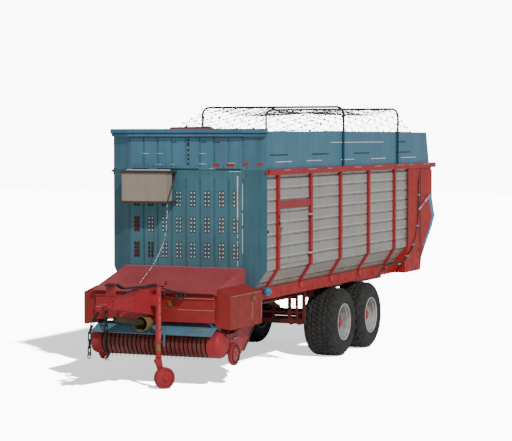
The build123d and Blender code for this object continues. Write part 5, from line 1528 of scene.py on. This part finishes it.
@dataclass
class HoodFittings(Fittings):
    """Hoses, painted highlights on edges, painted shade under the hood's lip and small plates on the hood,
    the folded face and the side boxes.
    """

    run: tuple[Point, ...] = (
        (-0.40, -1.215, 1.290), (-0.32, -1.215, 1.318), (-0.20, -1.215, 1.338), (-0.12, -1.23, 1.385),
        (-0.03, -1.23, 1.412), (0.08, -1.23, 1.405), (0.16, -1.215, 1.372), (0.28, -1.212, 1.342),
        (0.40, -1.212, 1.322), (0.52, -1.212, 1.318),
    )
    # X, Z and radius of the coils
    coils: tuple[Point, ...] = ((0.155, 1.285, 0.042), (0.415, 1.290, 0.040), (0.475, 1.288, 0.036))
    # Painted highlights along the hood's rear top edge and the folds of the face
    worn: tuple[Block, ...] = (
        ((-0.92, 0.92), (-0.192, -0.180), (1.599, 1.603)),
        ((0.36, 0.915), (-1.1570, -1.1535), (1.236, 1.243)),
        ((0.36, 0.915), (-1.1570, -1.1535), (1.077, 1.084)),
        ((-0.90, -0.45), (-1.1570, -1.1535), (1.077, 1.083)),
    )
    # Painted shade: dark lines in the gap under the hood's lip
    lip_shade_lines: tuple[Block, ...] = (
        ((0.45, 0.91), (-1.1925, -1.1905), (1.306, 1.314)),
        ((-0.90, -0.16), (-1.1925, -1.1905), (1.305, 1.311)),
    )
    # X of the face's bolts, and Z and Y of their two rows
    bolt_xs: tuple[float, ...] = (-0.86, -0.60, -0.30, 0.30, 0.60, 0.86)
    bolt_rows: tuple[Span, Span] = ((1.16, -1.130), (0.96, -1.145))
    # Side of a side box, Y and Z spans of its painted highlight lines, and Z of its slots
    box_x: float = 1.129
    box_lines: tuple[tuple[Span, Span], ...] = (
        ((-0.337, -0.329), (0.90, 1.158)),
        ((0.012, 0.019), (0.885, 1.145)),
        ((-1.07, 0.01), (1.2685, 1.2745)),
    )
    box_slots: tuple[float, ...] = (1.15, 1.10, 1.05, 1.0, 0.95, 0.9, 0.85)

    def build(self) -> None:
        """Adds the fittings."""
        self.hoses()
        self.edges()
        self.side_boxes()

    def hoses(self) -> None:
        """Black hoses that lie along the hood's front edge and coil beside the drawbar."""
        maker = MeshMaker()
        maker.tube(self.run, 0.011, 8)
        for x, z, radius in self.coils:
            for shift in (0.0, 0.022):
                coil = [
                    (x + radius * math.cos(turn), -1.212 - shift, z + radius * 0.9 * math.sin(turn))
                    for turn in (2 * math.pi * step / 20 for step in range(20))
                ]
                maker.tube(coil, 0.009, 6, closed=True)
        maker.finish("hood_hoses", self.paints["hose_rubber"], "wagon", "hose_rubber", smooth=True)

    def edges(self) -> None:
        """Painted highlights on edges, painted shade in the gap under the hood's lip, and a latch and bolts
        on the face.
        """
        worn, dark, latch, bolts = (MeshMaker() for _ in range(4))
        worn.blocks(self.worn)
        worn.finish("hood_worn_edges", self.paints["light_rust"], "wagon", None)
        dark.blocks(self.lip_shade_lines)
        dark.finish("hood_lip_gap", self.paints["dark_gap"], "wagon", None)
        latch.block((0.215, -1.146, 1.115), (0.270, -1.130, 1.195))
        latch.finish("face_latch", self.paints["guard_plastic"], "wagon", "guard_plastic", bevel=0.003)
        for x in self.bolt_xs:
            for z, y in self.bolt_rows:
                bolts.bolt((x, y, z), FORWARD, 0.011, 0.009)
        bolts.finish("face_bolts", self.paints["red_paint"], "wagon", "red_paint")

    def side_boxes(self) -> None:
        """Painted highlight lines, dark slots and latches on the outer side of both side boxes."""
        light, dark, latch = MeshMaker(), MeshMaker(), MeshMaker()
        for side in Side:
            x = side.span(self.box_x, self.box_x + 0.005)
            light.blocks((x, y, z) for y, z in self.box_lines)
            dark.blocks((x, (-0.088, -0.068), (z - 0.011, z + 0.011)) for z in self.box_slots)
            latch.blocks([(side.span(self.box_x, self.box_x + 0.019), (-0.325, -0.255), (1.165, 1.225))])
        light.finish("box_light_edges", self.paints["light_rust"], "wagon", None)
        dark.finish("box_slots", self.paints["dark_gap"], "wagon", None)
        latch.finish("box_latches", self.paints["guard_plastic"], "wagon", "guard_plastic", bevel=0.004)


@dataclass
class PickupFittings(Fittings):
    """Rubber strips, gauge wheel rings, a dark sheet of painted shade behind the reel, brackets, chain hooks,
    blank plate and tine tips.
    """

    gauge_y: float = -0.690
    gauge_z: float = 0.444
    strip_x: float = 0.947
    # Y and Z along the rubber strips
    strip: tuple[Span, ...] = ((0.12, 0.735), (0.02, 0.655), (-0.10, 0.545), (-0.22, 0.45))
    hooks: tuple[Point, Point] = ((-0.655, -1.320, 0.415), (-0.926, -1.320, 0.425))
    # Y and Z of the baffle's lower and upper edge, for the lean of its plate
    baffle: tuple[Span, Span] = ((-1.285, 0.744), (-1.010, 0.874))
    # Y and Z of the section of the dark sheet behind the reel
    shade_sheet: tuple[Span, ...] = ((-0.732, 0.458), (-0.655, 0.550), (-0.651, 0.550), (-0.728, 0.458))
    tip_count: int = 25
    tip_pitch: float = 0.066
    reel_z: float = 0.600

    def build(self) -> None:
        """Adds the pieces."""
        self.arms()
        self.gauge_wheels()
        self.reel()
        hooks, plate = MeshMaker(), MeshMaker()
        for x, y, z in self.hooks:
            arc = [
                (x + 0.028 * math.cos(turn), y, z - 0.035 + 0.030 * math.sin(turn))
                for turn in (math.radians(angle) for angle in range(90, 361, 30))
            ]
            hooks.tube([(x, y, z + 0.03), *arc], 0.009, 6)
        hooks.finish("chain_hooks", self.paints["zinc_steel"], "wagon", "zinc_steel", smooth=True)
        (low_y, low_z), (high_y, high_z) = self.baffle
        lean = Matrix.Rotation(math.atan2(high_z - low_z, high_y - low_y), 3, "X")
        plate.turned_block((0.73, -1.155, 0.8085), (0.24, 0.05, 0.003), lean)
        plate.finish("baffle_blank_plate", self.paints["plate_green"], "pickup", "guard_plastic")

    def arms(self) -> None:
        """Rubber strips and brackets on the pickup's arms."""
        strips, brackets = MeshMaker(), MeshMaker()
        for side in Side:
            strips.tube([(side.value * self.strip_x, y, z) for y, z in self.strip], 0.022, 8)
            brackets.blocks([(side.span(0.956, 0.966), (-0.60, -0.42), (0.64, 0.66))])
        strips.finish("arm_rubber_strips", self.paints["hose_rubber"], "pickup", "hose_rubber", smooth=True)
        brackets.finish("arm_brackets", self.paints["light_rust"], "pickup", None)

    def gauge_wheels(self) -> None:
        """Dark ring and bolts on the outer side of both gauge wheels."""
        for side in Side:
            name = f"gauge_wheel_{side.name.lower()}"
            circle, bolts = MeshMaker(), MeshMaker()
            path = ring((side.value * 1.036, self.gauge_y, self.gauge_z), 0.118, 36)
            circle.tube(path, 0.008, 6, closed=True)
            circle.finish(f"{name}_ring", self.paints["dark_gap"], name, None, smooth=True)
            for place in ring((side.value * 1.034, self.gauge_y, self.gauge_z), 0.066, 6):
                bolts.bolt(place, side.outward, 0.008, 0.010)
            bolts.finish(f"{name}_bolts", self.paints["zinc_steel"], name, "zinc_steel")

    def reel(self) -> None:
        """Dark sheet behind the bands, painted shade that keeps the floor's light from showing between them,
        and a row of tine tips that hangs below them.
        """
        shade_sheet, tips = MeshMaker(), MeshMaker()
        shade_sheet.plate([(-0.80, y, z) for y, z in self.shade_sheet], (1.6, 0.0, 0.0))
        shade_sheet.finish("reel_apron", self.paints["hose_rubber"], "pickup", "hose_rubber")
        for number in range(self.tip_count):
            x = (number - self.tip_count // 2) * self.tip_pitch
            tips.tube([(x, -1.0, self.reel_z - 0.178), (x, -1.004, self.reel_z - 0.229)], 0.0035, 5)
        tips.finish("reel_tine_tips", self.paints["tine_steel"], "pickup_reel", "tine_steel")


@dataclass
class DrawbarFittings(Fittings):
    """Bolts of the hitch plate, and collars, painted highlight line, crank grip and leg sleeve of the jack.
    """

    jack: Span = (0.180, -1.385)
    # Low and high side and radius of the collars
    collars: tuple[Point, Point] = ((0.632, 0.655, 0.047), (1.300, 1.318, 0.050))
    # Z spans of the painted highlight line on the jack tube
    worn: tuple[Span, ...] = ((0.70, 0.80), (0.83, 1.02), (1.05, 1.17), (1.21, 1.27))
    # Offset of the painted highlight line from the jack's middle, on the side between the sun and the camera
    highlight_off: Span = (0.0338, -0.0232)
    grip_off: float = 0.118

    def build(self) -> None:
        """Adds the pieces."""
        bolts, collars, worn, grip, sleeve = (MeshMaker() for _ in range(5))
        for x in (-0.08, 0.08):
            for z in (1.195, 1.325):
                bolts.bolt((x, -2.538, z), FORWARD, 0.014, 0.014)
        for side in Side:
            for y in (-2.1, -1.9, -1.5, -1.3):
                bolts.bolt((side.value * 0.08, y, 1.26), side.outward, 0.012, 0.01)
        bolts.finish("drawbar_bolts", self.paints["red_paint"], "wagon", "red_paint")
        x, y = self.jack
        for low, high, radius in self.collars:
            collars.tube([(x, y, low), (x, y, high)], radius, 24)
        collars.finish("jack_collars", self.paints["drawbar_red"], "wagon", "red_paint")
        worn_x, worn_y = x + self.highlight_off[0], y + self.highlight_off[1]
        for low, high in self.worn:
            worn.tube([(worn_x, worn_y, low), (worn_x, worn_y, high)], 0.0035, 6)
        worn.finish("jack_tube_worn_line", self.paints["light_rust"], "wagon", None)
        grip.tube([(x + self.grip_off, y, 1.430), (x + self.grip_off, y, 1.49)], 0.014, 12)
        grip.finish("jack_crank_grip", self.paints["hose_rubber"], "wagon", "hose_rubber", smooth=True)
        sleeve.tube([(x, y, 0.53), (x, y, 0.618)], 0.0342, 24)
        sleeve.finish("jack_leg_sleeve", self.paints["guard_plastic"], "jack_leg", "guard_plastic")


def main() -> None:
    """Builds the studio and the wagon's looks in order."""
    logging.basicConfig(level=logging.INFO, format="%(message)s")
    Studio().build()
    paints = Paintshop()
    Rope(paints).build()
    paints.dress(frame)
    groups = (
        LoadNet, Tyres, Wheels, FrontWall, ControlBox, UpperSides, SideWalls, RearCorners, HoodFittings,
        PickupFittings, DrawbarFittings,
    )
    for group in groups:
        group(paints).build()


if __name__ == "__main__":
    main()
